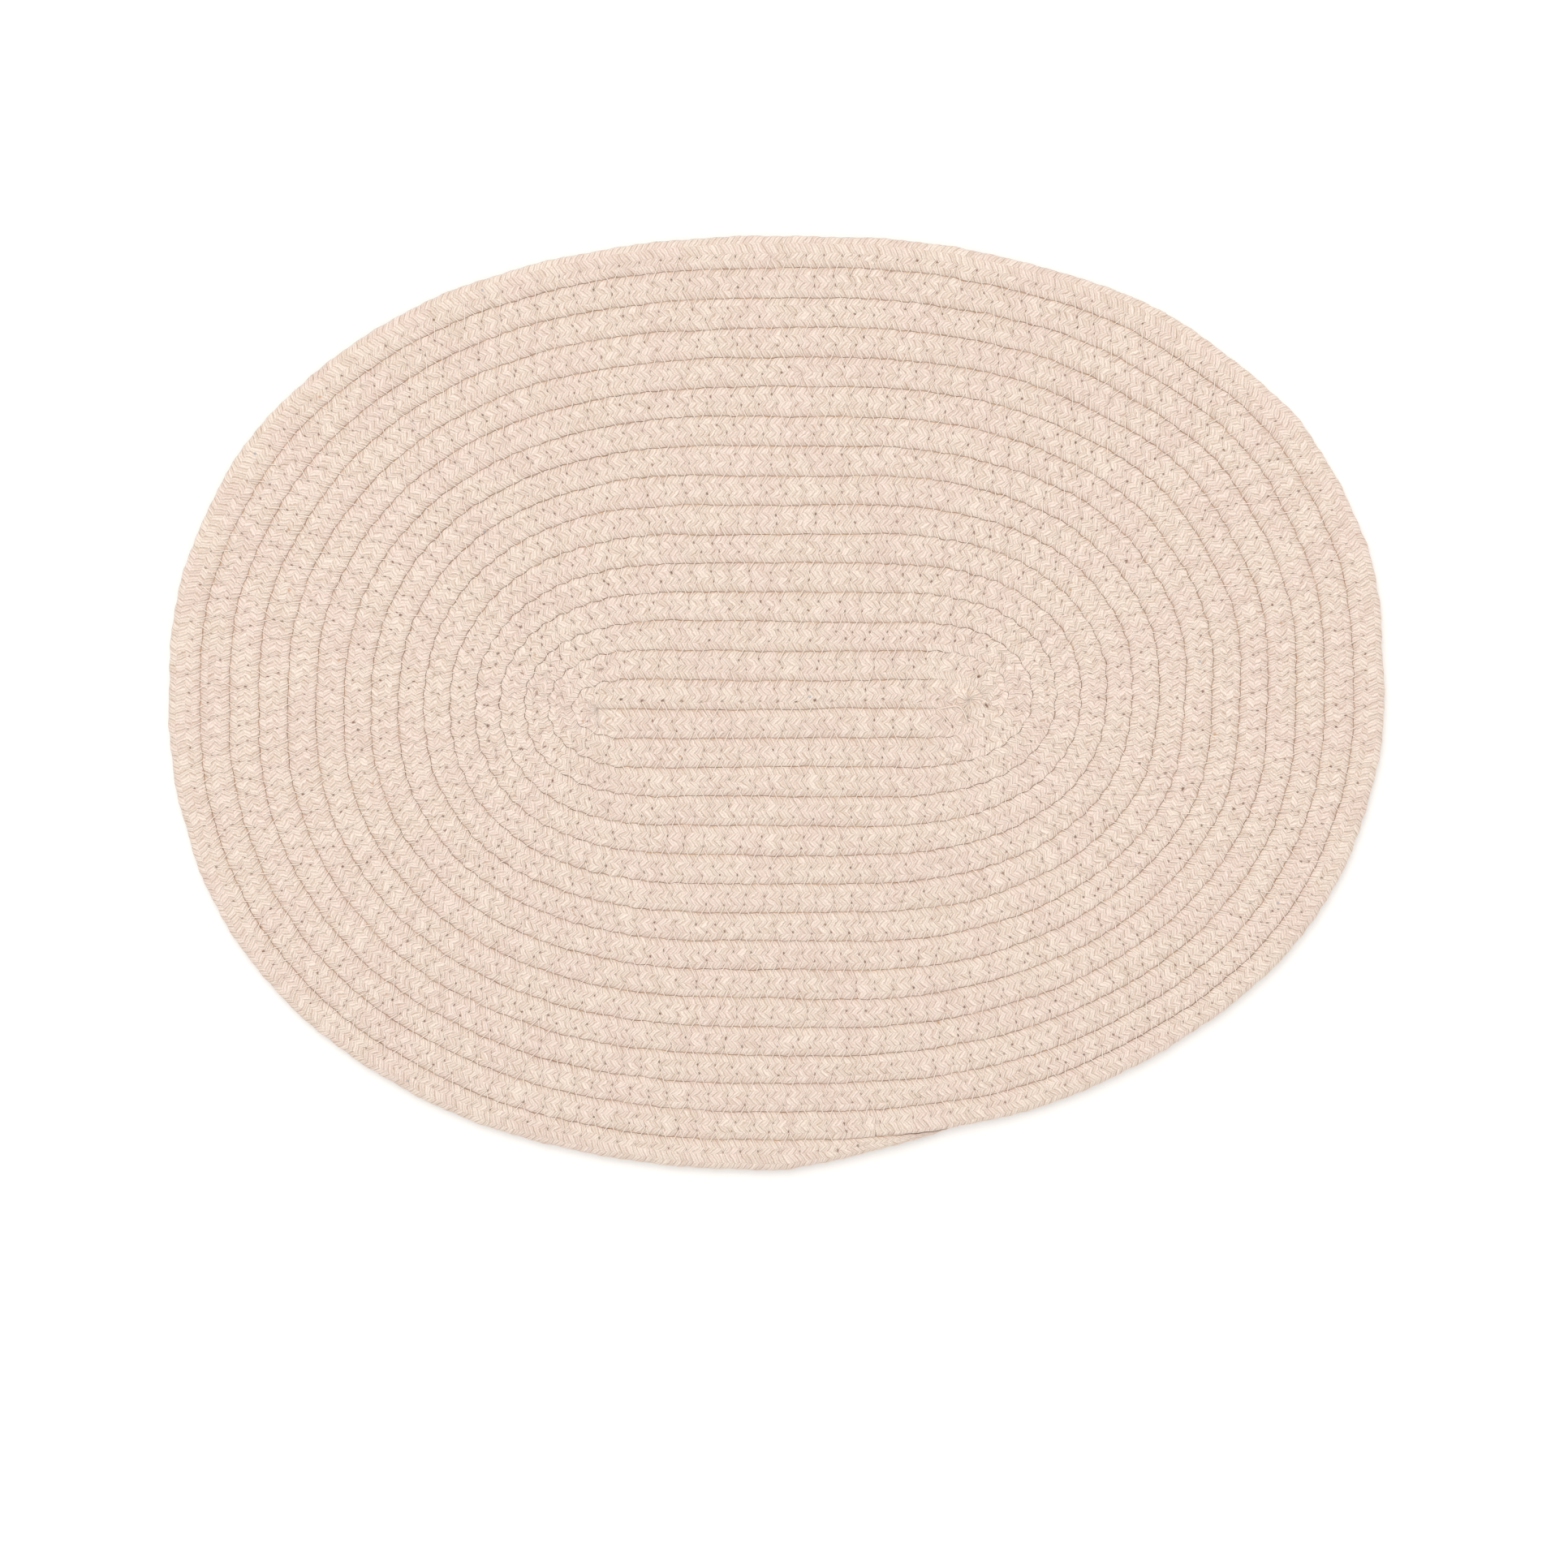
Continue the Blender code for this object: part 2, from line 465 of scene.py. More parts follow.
    def holes(self, along: np.ndarray, share: np.ndarray) -> list[tuple[np.ndarray, ...]]:
        """Where places of the cord are from the nearest needle hole of each of its two lines.

        Args:
            along: lengths along the cord.
            share: places across it.

        Returns:
            For the inner line and the outer one: the number of zigzags from that line's holes,
            how far across the cord the line is, and whether the line is sewn there.
        """
        outer_reach = np.full_like(self.along, self.needle.inward)
        sides = (
            (share, self.inner_reach, self.inner_count, self.inner_sewn),
            (1 - share, outer_reach, self.outer_count, self.outer_sewn),
        )
        width = self.width_at(along)
        made = []
        for off_edge, *kept in sides:
            reach, count, sewn = (np.interp(along, self.along, values) for values in kept)
            made.append((count, off_edge * width - reach, sewn > self.is_sewn))
        return made


def interpolated(at: np.ndarray, places: np.ndarray, values: np.ndarray) -> np.ndarray:
    """Rows of values in between given ones."""
    columns = [np.interp(at, places, values[:, n]) for n in range(values.shape[1])]
    return np.stack(columns, axis=-1)


def asides(points: np.ndarray) -> np.ndarray:
    """Finds which way is to the right along a line.

    Args:
        points: rows of X and Y.

    Returns:
        A row of X and Y for each, with a length of 1.
    """
    onward = np.gradient(points, axis=0)
    aside = np.column_stack((onward[:, 1], -onward[:, 0]))
    return aside / np.maximum(np.linalg.norm(aside, axis=1), 1e-12)[:, None]


def lengths(points: np.ndarray) -> np.ndarray:
    """The length along a line of points, at each of them."""
    steps = np.linalg.norm(np.diff(points, axis=0), axis=1)
    return np.concatenate(((0.0,), np.cumsum(steps)))


# ---- Meshes ----


def tube(
    name: str, places: np.ndarray, maps: dict[str, Painter], creases: list[int] | None = None
) -> bpy.types.Object:
    """Makes a closed tube from a grid that is bent round until its sides meet.

    Args:
        name: name of the piece.
        places: where the points go, by line along the tube, by station and by X, Y and Z.
        maps: for each UV map, what gives its corners' places from the line and station of the
            corner's face, and from those of the corner.
        creases: the lines that stay sharp.

    Returns:
        The piece, linked to the scene.
    """
    count, stations = places.shape[:2]
    bm = bmesh.new()
    bmesh.ops.create_grid(bm, x_segments=stations - 1, y_segments=count, size=1.0)
    mesh = bpy.data.meshes.new(name)
    bm.to_mesh(mesh)
    wrapped = np.concatenate((places, places[:1]))
    mesh.vertices.foreach_set("co", wrapped.astype(np.float32).ravel())
    corner = np.empty(len(mesh.loops), np.int32)
    mesh.loops.foreach_get("vertex_index", corner)
    line, station = np.divmod(corner.reshape(-1, 4), stations)
    own_line = np.broadcast_to(line.min(axis=1)[:, None], line.shape)
    own_station = np.broadcast_to(station.min(axis=1)[:, None], line.shape)
    for layer_name, paint in maps.items():
        layer = mesh.uv_layers.new(name=layer_name)
        values = paint(own_line, own_station, line, station)
        layer.uv.foreach_set("vector", values.astype(np.float32).ravel())
    ends = np.empty(2 * len(mesh.edges), np.int32)
    mesh.edges.foreach_get("vertices", ends)
    first_end, second_end = (ends.reshape(-1, 2) // stations).T
    sharp = (first_end == second_end) & np.isin(first_end % count, creases or [])
    mesh.edges.foreach_set("use_edge_sharp", sharp)
    bm.clear()
    bm.from_mesh(mesh)
    bm.verts.ensure_lookup_table()
    ends = [[bm.verts[n * stations + at] for n in range(count)] for at in (0, stations - 1)]
    middles = [Vector(places[:, at].mean(axis=0)) for at in (0, -1)]
    meeting = bm.verts[:stations] + bm.verts[count * stations :]
    bmesh.ops.remove_doubles(bm, verts=meeting, dist=WELD)
    for end, middle in zip(ends, middles, strict=True):
        close_end(bm, end, middle)
    bmesh.ops.recalc_face_normals(bm, faces=bm.faces)
    bm.to_mesh(mesh)
    bm.free()
    mesh.shade_smooth()
    piece = bpy.data.objects.new(name, mesh)
    bpy.context.scene.collection.objects.link(piece)
    return piece


def close_end(bm: bmesh.types.BMesh, ring: list[bmesh.types.BMVert], middle: Vector) -> None:
    """Closes an end of a tube with a fan of faces.

    Args:
        bm: the mesh.
        ring: the points of the end's edge.
        middle: where the faces meet.
    """
    around = (e for v in ring if v.is_valid for e in v.link_edges if e.is_boundary)
    rim = list(dict.fromkeys(around))
    made = bmesh.ops.extrude_edge_only(bm, edges=rim)["geom"]
    fresh = [part for part in made if isinstance(part, bmesh.types.BMVert)]
    bmesh.ops.pointmerge(bm, verts=fresh, merge_co=middle)


def dress(piece: bpy.types.Object, material: bpy.types.Material) -> bpy.types.Object:
    """Gives a piece its finish and says that it is part of the mat.

    Args:
        piece: the piece.
        material: its finish.

    Returns:
        The piece.
    """
    piece.data.materials.append(material)
    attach(piece, BODY)
    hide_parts(NODE)
    LOG.info("%s: %d faces", piece.name, len(piece.data.polygons))
    return piece


# ---- The cord ----


@dataclass(frozen=True)
class Line:
    """A line that runs along the cord, as its cross-section shows it."""

    across: float  # share of the row's width
    height: float
    lean: float  # 0 where the strands' chevrons point back along the cord, 1 where they point on
    depth: float  # how far it lies in between two bands of strands
    closing: float  # how far it rises where the rows are pressed together
    strand: int  # the band whose strands it crosses, or -1 between bands
    tucked: tuple[float, float]  # its place where another row lies outside it


@dataclass(frozen=True)
class Gap:
    """The strip between a line and the next one round the cord."""

    band: int
    start: float  # share of the band's width
    end: float


@dataclass
class CordSection:
    """The cord's cross-section: a flattened round of braided bands, pressed flat underneath."""

    thickness: float
    width: float
    roundness: float = 4.4  # exponent of its outline: 2 is an ellipse, and more is squarer
    lift: float = 0.00030  # how far the braid's underside is above what the mat lies on
    wall: float = 0.008  # the cord's sides are this share of its width inside its seams
    wall_heights: tuple[float, float] = (0.0072, 0.0013)
    on_wall: float = 0.02  # lines within this share of an edge are on a flat side,
    beside_wall: float = 0.10  # and those within this one are next to it
    closing: tuple[float, float] = (0.0009, 0.00055)  # how far those two rise in tight bends
    furrow: float = 0.00014  # depth between two bands of strands
    crown: tuple[float, ...] = (0.055, 0.155, 0.25, 1 / 3, 5 / 12)  # lines of half the top
    heel: float = 0.10  # where the underside's outer lines are,
    heel_lean: float = 0.2  # and the share of their band that is beyond them
    lines: list[Line] = field(default_factory=list)
    gaps: list[Gap] = field(default_factory=list)

    @property
    def creases(self) -> list[int]:
        """The numbers of the lines at the edges of its two flat sides."""
        sides = (self.wall, 1 - self.wall)
        return [n for n, line in enumerate(self.lines) if line.across in sides]

    def top(self, share: np.ndarray | float) -> np.ndarray:
        """The height of the upper face."""
        off = np.clip(np.abs(2 * np.asarray(share) - 1), 0, 1)
        return self.thickness / 2 * (1 + (1 - off**self.roundness) ** (1 / self.roundness))

    def under(self, share: float) -> float:
        """The height of the underside."""
        return max(self.lift, self.thickness - float(self.top(share)))

    def mark(self, across: float, height: float, lean: float, gap: Gap, between: bool) -> None:
        """Adds a line and the strip after it.

        Args:
            across: share of the row's width.
            height: of the line.
            lean: how far its strands point on.
            gap: the strip after it.
            between: whether the line lies between two bands.
        """
        near = min(across, 1 - across)
        wall = near < self.on_wall
        closing = 0.0
        if near < self.beside_wall and height > self.thickness / 2:
            closing = self.closing[0 if wall else 1]
        depth = self.furrow if between and not wall else 0.0
        strand = -1 if between or wall else gap.band
        self.lines.append(Line(across, height, lean, depth, closing, strand, (across, height)))
        self.gaps.append(gap)

    def herringbone(self, marks: list[tuple[float, float]]) -> None:
        """Adds bands of three strips each, whose strands point on and back in turn.

        Args:
            marks: each line's share of the row's width, and its height.
        """
        thirds = (0.0, 1 / 3, 2 / 3, 1.0)
        for number, (across, height) in enumerate(marks, len(self.lines)):
            band, part = divmod(number, 3)
            lean = 1 - thirds[part] if band % 2 else thirds[part]
            gap = Gap(band, thirds[part], thirds[part + 1])
            self.mark(across, height, lean, gap, 0 < number and part == 0)

    def crown_marks(self) -> list[tuple[float, float]]:
        """Where the lines of the upper face's inner half are."""
        top = [(share, float(self.top(share))) for share in self.crown]
        return [(self.wall, self.wall_heights[0]), *top]

    def close(self, band: int) -> None:
        """Adds the lines from the middle of the underside to the inner side.

        Args:
            band: number of the band of strands that is there.
        """
        heel, lean = self.heel, self.heel_lean
        self.mark(0.5, self.lift, 1.0, Gap(band, 0.0, 1 - lean), True)
        self.mark(heel, self.under(heel), lean, Gap(band, 1 - lean, 1.0), False)
        self.mark(self.wall, self.wall_heights[1], 0.0, Gap(band + 1, 0.0, 1.0), True)


def column(rows: list[Line] | list[Gap], name: str) -> np.ndarray:
    """One field of every line or strip of a cross-section."""
    return np.array([getattr(row, name) for row in rows])


def inner_section(coil: Coil) -> CordSection:
    """The cord's cross-section between two other rows.

    Args:
        coil: the spiral.

    Returns:
        The section: four bands on top, a side, two bands underneath and the other side.
    """
    made = CordSection(coil.thickness, coil.row_pitch)
    upper, lower = made.wall_heights
    heel, lean = 1 - made.heel, made.heel_lean
    half = made.crown_marks()
    mirrored = [(1 - across, height) for across, height in reversed(half[1:])]
    made.herringbone([*half, (0.5, coil.thickness), *mirrored])
    made.mark(1 - made.wall, upper, 0.0, Gap(4, 0.0, 1.0), True)
    made.mark(1 - made.wall, lower, 0.0, Gap(5, 0.0, lean), True)
    made.mark(heel, made.under(heel), lean, Gap(5, lean, 1.0), False)
    made.close(6)
    return made


def outer_section(coil: Coil) -> CordSection:
    """The cross-section of the outermost row, whose outer side is round and shows its braid.

    Args:
        coil: the spiral.

    Returns:
        The section: two bands on top, five round the outer side, one underneath and a side.
        Where the row comes out from under the cord's end, its outer side is still flat.
    """
    made = CordSection(coil.thickness, coil.row_pitch)
    made.herringbone(made.crown_marks())
    bulge, roundness, lines, fine = 0.0008 / coil.row_pitch, 2.45, 15, 400
    angle = np.linspace(np.pi / 2, -np.pi / 2, fine)
    c, s = np.cos(angle), np.sin(angle)
    shapes = []
    for reach, power in ((0.5 + bulge, roundness), (0.5 - made.wall, made.roundness)):
        x = 0.5 + reach * np.abs(c) ** (2 / power)
        z = coil.thickness / 2 * (1 + np.copysign(np.abs(s) ** (2 / power), s))
        girth = lengths(np.column_stack((x * coil.row_pitch, z)))
        at = girth[-1] * np.arange(lines) / lines
        level = np.maximum(np.interp(at, girth, z), made.lift)
        shapes.append(list(zip(np.interp(at, girth, x), level, strict=True)))
    start = len(made.lines)
    made.herringbone([(float(x), float(z)) for x, z in shapes[0]])
    for number, (across, height) in enumerate(shapes[1], start):
        made.lines[number] = replace(
            made.lines[number], closing=0.0, tucked=(float(across), float(height))
        )
    made.close(7)
    return made


@dataclass
class BraidedCord:
    """The braid that shows: strands of two plies that cross in herringbone bands."""

    rows: Rows
    pieces: int = 4  # in which the cord is made, up to its outermost turn
    spacing: float = 0.00073  # between stations along the cord
    strand_stations: int = 3  # of which a strand has this many,
    strand_shift: int = 2  # and by which the strands of each band lie further on
    chevron: float = 0.0019  # how far a strand runs along the cord while it crosses its band
    bend_chevron: float = 0.0013
    slip: float = 1 / 12  # of a strand, by which plies miss those of the next band
    strand_depth: float = 0.00021  # of the clefts between strands
    strand_spread: float = 0.00007  # how unevenly high the strands are
    strand_draws: tuple[int, int] = (16, 4096)  # bands, and strands along them
    end_fade: float = 0.012  # within which the chevrons flatten at the cord's two ends,
    joint_fade: float = 0.004  # and beside the joint of its two cross-sections
    full_width: float = 0.8  # of a row, from which on the cord is at its full thickness
    full_relief: tuple[float, float] = (1.6, 0.6)  # how soon its relief grows with its width
    tucked_length: float = 0.030  # in which the outermost row's outer side grows round
    pull: float = 0.36  # how far a needle hole draws in the strands round it
    pull_reach: float = 0.0017
    dimple: float = 0.00042  # how far it draws them down
    dimple_reach: float = 0.00085
    pillow: float = 0.0006  # how far a hole also draws down the cord in the tight bends
    pillow_reach: float = 0.0019
    pressing: float = 1.6  # how much more the rows are pressed together at the pucker
    shut: float = 0.10  # how far the gap in a seam is shut, as a share of it,
    bend_shut: float = 1.0  # and how much further in the tight bends,
    most_shut: float = 1.35  # as far as this,
    start_shut: float = 1.8  # and beyond that where the start is drawn in
    openings: Unevenness = Unevenness(((0.0066, 0.42), (0.0033, 0.30)), seed=47)  # and unevenly
    most_risen: float = 1.1  # how often its own rise a line beside a seam can take
    ruffles: Unevenness = Unevenness(((0.0075, 0.00045), (0.0042, 0.00028)), seed=41)
    swellings: Unevenness = Unevenness(((0.0085, 0.00026), (0.0048, 0.00016)), seed=43)
    calm: float = 0.15  # what share of its ruffles the cord has where it runs straight
    firm_edge: float = 0.2  # how wide the edges are that ruffle less, as share x (1 - share)
    sag: float = 0.00018  # how unevenly high the cord lies
    sag_waves: tuple[tuple[float, float], ...] = ((0.0171, 1.0), (0.0063, 0.0), (0.0427, 0.0))
    seed: int = 23

    def stations(self) -> int:
        """How many stations the cord has."""
        return int(self.rows.length / self.spacing) + 1

    @property
    def joint(self) -> int:
        """The station where the outermost turn starts, hidden beside the cord's thin end."""
        coil = self.rows.coil
        return int(self.rows.along_at(coil.last - coil.turn - 1) / self.spacing)

    def fullness(self, along: np.ndarray) -> np.ndarray:
        """How much of its thickness the cord has, which is less where its ends thin out."""
        share = self.rows.width_at(along) / self.rows.coil.row_pitch / self.full_width
        return np.sqrt(1 - (1 - np.clip(share, 0, 1)) ** 2)

    def reach_on(self, along: np.ndarray) -> np.ndarray:
        """How far the chevrons reach along the cord: less in its bends, none at its ends.

        Args:
            along: lengths along the cord.

        Returns:
            The reach at each.
        """
        coil = self.rows.coil
        middle = coil.run_steps / 2  # of a run, where the chevrons are longest
        bent = np.cos(4 * np.pi * (self.rows.step_at(along) - middle) / coil.turn)
        reach = self.bend_chevron + (self.chevron - self.bend_chevron) * (0.5 + 0.5 * bent)
        near = np.minimum(along, self.rows.length - along) / self.end_fade
        beside = np.abs(along - self.joint * self.spacing) / self.joint_fade
        return reach * np.clip(np.minimum(near, beside), 0, 1)

    def along(self, lean: np.ndarray, station: np.ndarray) -> np.ndarray:
        """Where the lines of the chevrons are along the cord.

        Args:
            lean: how far lines lie towards the chevrons' points.
            station: numbers of the stations.

        Returns:
            The length along the cord where each line crosses each station.
        """
        even = station * self.spacing
        there = np.clip(even + (lean - 0.5) * self.reach_on(even), 0, self.rows.length)
        there = np.where(station == 0, 0.0, there)
        return np.where(station == self.stations() - 1, self.rows.length, there)

    def outline(self, section: CordSection, along: np.ndarray) -> tuple[np.ndarray, np.ndarray]:
        """The cross-section before the strands' relief and the needle holes.

        Args:
            section: its lines.
            along: the length along the cord of each line's points.

        Returns:
            Each point's share of the row's width, and its height.
        """
        start = self.rows.along_at(self.rows.coil.last - self.rows.coil.turn)
        grown = np.clip((along - start) / self.tucked_length, 0, 1)
        grown = grown * grown * (3 - 2 * grown)
        tucked = np.array([line.tucked for line in section.lines])
        free = np.array([(line.across, line.height) for line in section.lines])
        shape = tucked[:, None] + (free - tucked)[:, None] * grown[..., None]
        return shape[..., 0], shape[..., 1]

    def places(self, section: CordSection, first: int, last: int) -> np.ndarray:
        """Where the points of a length of the cord are.

        Args:
            section: its cross-section.
            first: its first station.
            last: its last station.

        Returns:
            X, Y and Z, by line and by station.
        """
        rows = self.rows
        lean, closing = (column(section.lines, name)[:, None] for name in ("lean", "closing"))
        station = np.arange(first, last + 1)[None, :]
        along = self.along(lean, station)
        share, height = self.outline(section, along)
        plain = rows.on_row(along, share)
        tight = rows.tightness(rows.step_at(along))
        pucker = rows.pucker.pressed(plain)
        pressed = tight + self.pressing * pucker
        uneven = self.openings.at(plain)[..., 0]
        shut = np.clip(self.shut + self.bend_shut * pressed + uneven, 0.0, self.most_shut)
        shut = shut + self.start_shut * pucker**2
        beside_seam = closing >= section.closing[0]
        share = np.where(beside_seam, share + (np.round(share) - share) * shut, share)
        width = np.maximum(rows.width_at(along), self.spacing)
        gain, start = self.full_relief
        whole = np.clip(gain * width / rows.coil.row_pitch - start, 0, 1)
        moved_along, moved_across, sunk = self.stitched(along, share, tight, whole)
        along = np.clip(along + moved_along, 0, rows.length)
        normal = self.normals(section)
        relief = self.relief(section, station) * whole
        share = share + moved_across / width + relief * normal[:, :1] / width
        flat = rows.on_row(along, share)
        loose = np.clip(self.calm + pressed, 0, 1)
        ruffled = loose * 4 * np.clip(share * (1 - share), 0, self.firm_edge)
        flat = flat + self.ruffles.at(flat) * ruffled[..., None]
        half = rows.coil.thickness / 2
        full = self.fullness(along)
        facing = np.sign(height - half) * (np.abs(normal[:, 1:]) > 0.5)
        z = half + (height - half) * full + relief * normal[:, 1:] * full
        z = z + closing * np.clip(pressed + uneven / 2, 0.0, self.most_risen) - sunk * facing
        z = z - self.sagging(along) * (height / rows.coil.thickness) ** 2
        z = z + self.swellings.at(flat)[..., 0] * ruffled * (height > half)
        z = np.maximum(z, section.lift)
        return rows.pucker.drawn(np.concatenate((flat, z[..., None]), axis=-1))

    def stitched(
        self, along: np.ndarray, share: np.ndarray, tight: np.ndarray, whole: np.ndarray
    ) -> tuple[np.ndarray, np.ndarray, np.ndarray]:
        """How the stitches draw the braid towards their needle holes.

        Args:
            along: lengths along the cord.
            share: places across it.
            tight: how sharply the cord turns there.
            whole: 0 where its end thins out, and 1 elsewhere.

        Returns:
            How far each place is moved along the cord, across it and down.
        """
        needle = self.rows.needle
        moved_along, moved_across, sunk = (np.zeros_like(along) for _ in range(3))
        for side, (count, off_line, sewn) in enumerate(self.rows.holes(along, share)):
            near = np.round(count)
            off_line = off_line - needle.strayed(2 * near + side)
            off_hole = (count - near) * needle.zigzag
            square = (off_hole**2 + off_line**2) / 2
            drawn = self.pull * np.exp(-square / self.pull_reach**2) * sewn * whole
            moved_along -= off_hole * drawn
            moved_across -= off_line * drawn * (1 - 2 * side)
            sunk += self.dimple * np.exp(-square / self.dimple_reach**2) * sewn * whole
            sunk += self.pillow * np.exp(-square / self.pillow_reach**2) * sewn * tight
        return moved_along, moved_across, sunk

    def sagging(self, along: np.ndarray) -> np.ndarray:
        """How far the top lies below its even height."""
        waves = sum(np.sin(along / length + phase) for length, phase in self.sag_waves)
        return self.sag * (0.5 + waves / (2 * len(self.sag_waves)))

    def normals(self, section: CordSection) -> np.ndarray:
        """Which way is out at each line of a cross-section.

        Args:
            section: the cross-section.

        Returns:
            A row for each line: across the cord, and up.
        """
        points = np.array([(line.across * section.width, line.height) for line in section.lines])
        onward = np.roll(points, -1, axis=0) - np.roll(points, 1, axis=0)
        out = np.column_stack((-onward[:, 1], onward[:, 0]))
        return out / np.linalg.norm(out, axis=1)[:, None]

    def relief(self, section: CordSection, station: np.ndarray) -> np.ndarray:
        """How far the surface stands out from the plain cord: strands up, furrows down.

        Args:
            section: the cross-section.
            station: numbers of the stations.

        Returns:
            The relief, by line and by station.
        """
        out = np.zeros((len(section.lines), station.shape[-1]))
        draw = np.random.default_rng(self.seed).normal(0, self.strand_spread, self.strand_draws)
        for number, line in enumerate(section.lines):
            if line.strand < 0:
                out[number] = -line.depth
                continue
            shifted = station[0] + self.strand_shift * line.strand
            strand, place = np.divmod(shifted, self.strand_stations)
            high = draw[line.strand, strand % self.strand_draws[1]]
            out[number] = np.where(place == 0, -self.strand_depth, high)
        return out

    def painters(self, section: CordSection, first: int) -> dict[str, Painter]:
        """What lays out the braid's maps.

        Args:
            section: the cross-section.
            first: number of the first station.

        Returns:
            The braid's map: strands along the cord, and bands round it; and for each line of
            needle holes: millimetres from the nearest hole, along and across the cord.
        """
        bands, starts, ends = (column(section.gaps, name) for name in ("band", "start", "end"))
        across, lean = (column(section.lines, name) for name in ("across", "lean"))
        count = len(section.lines)

        def braid(own: Numbers, _: Numbers, line: Numbers, station: Numbers) -> np.ndarray:
            """Places in the herringbone."""
            strand = (station + first + self.strand_shift * bands[own]) / self.strand_stations
            strand = strand + self.slip * bands[own]
            place = np.where(line == own, starts[own], ends[own])
            return np.stack((strand, bands[own] + place), axis=-1)

        def off(side: int, number: Numbers, at: Numbers) -> tuple[np.ndarray, ...]:
            """Zigzags and metres from a line of holes, and whether it is sewn."""
            along = self.along(lean[number % count], at + first)
            return self.rows.holes(along, across[number % count])[side]

        def needle(
            side: int, own: Numbers, own_station: Numbers, line: Numbers, station: Numbers
        ) -> np.ndarray:
            """Places from the hole of one line of holes that is nearest to the face."""
            near = np.round(off(side, own, own_station)[0])
            turns, metres, sewn = off(side, line, station)
            metres = metres - self.rows.needle.strayed(2 * near + side)
            away = (turns - near) * self.rows.needle.zigzag + (1 - sewn)
            return np.stack((away, metres), axis=-1) / MM

        return {BRAID_MAP: braid, **{m: partial(needle, n) for n, m in enumerate(NEEDLE_MAPS)}}

    def build(self) -> list[bpy.types.Object]:
        """Makes the cord, in lengths that follow one another.

        Returns:
            The lengths, the outermost turn last.
        """
        inner, outer = (make(self.rows.coil) for make in (inner_section, outer_section))
        cuts = [round(self.joint * n / self.pieces) for n in range(self.pieces + 1)]
        parts = [
            (f"braided_cord_{number}", inner, first, last)
            for number, (first, last) in enumerate(zip(cuts[:-1], cuts[1:], strict=True), 1)
        ]
        parts.append(("braided_cord_outer_turn", outer, self.joint, self.stations() - 1))
        return [
            tube(
                name,
                self.places(section, first, last),
                self.painters(section, first),
                section.creases,
            )
            for name, section, first, last in parts
        ]


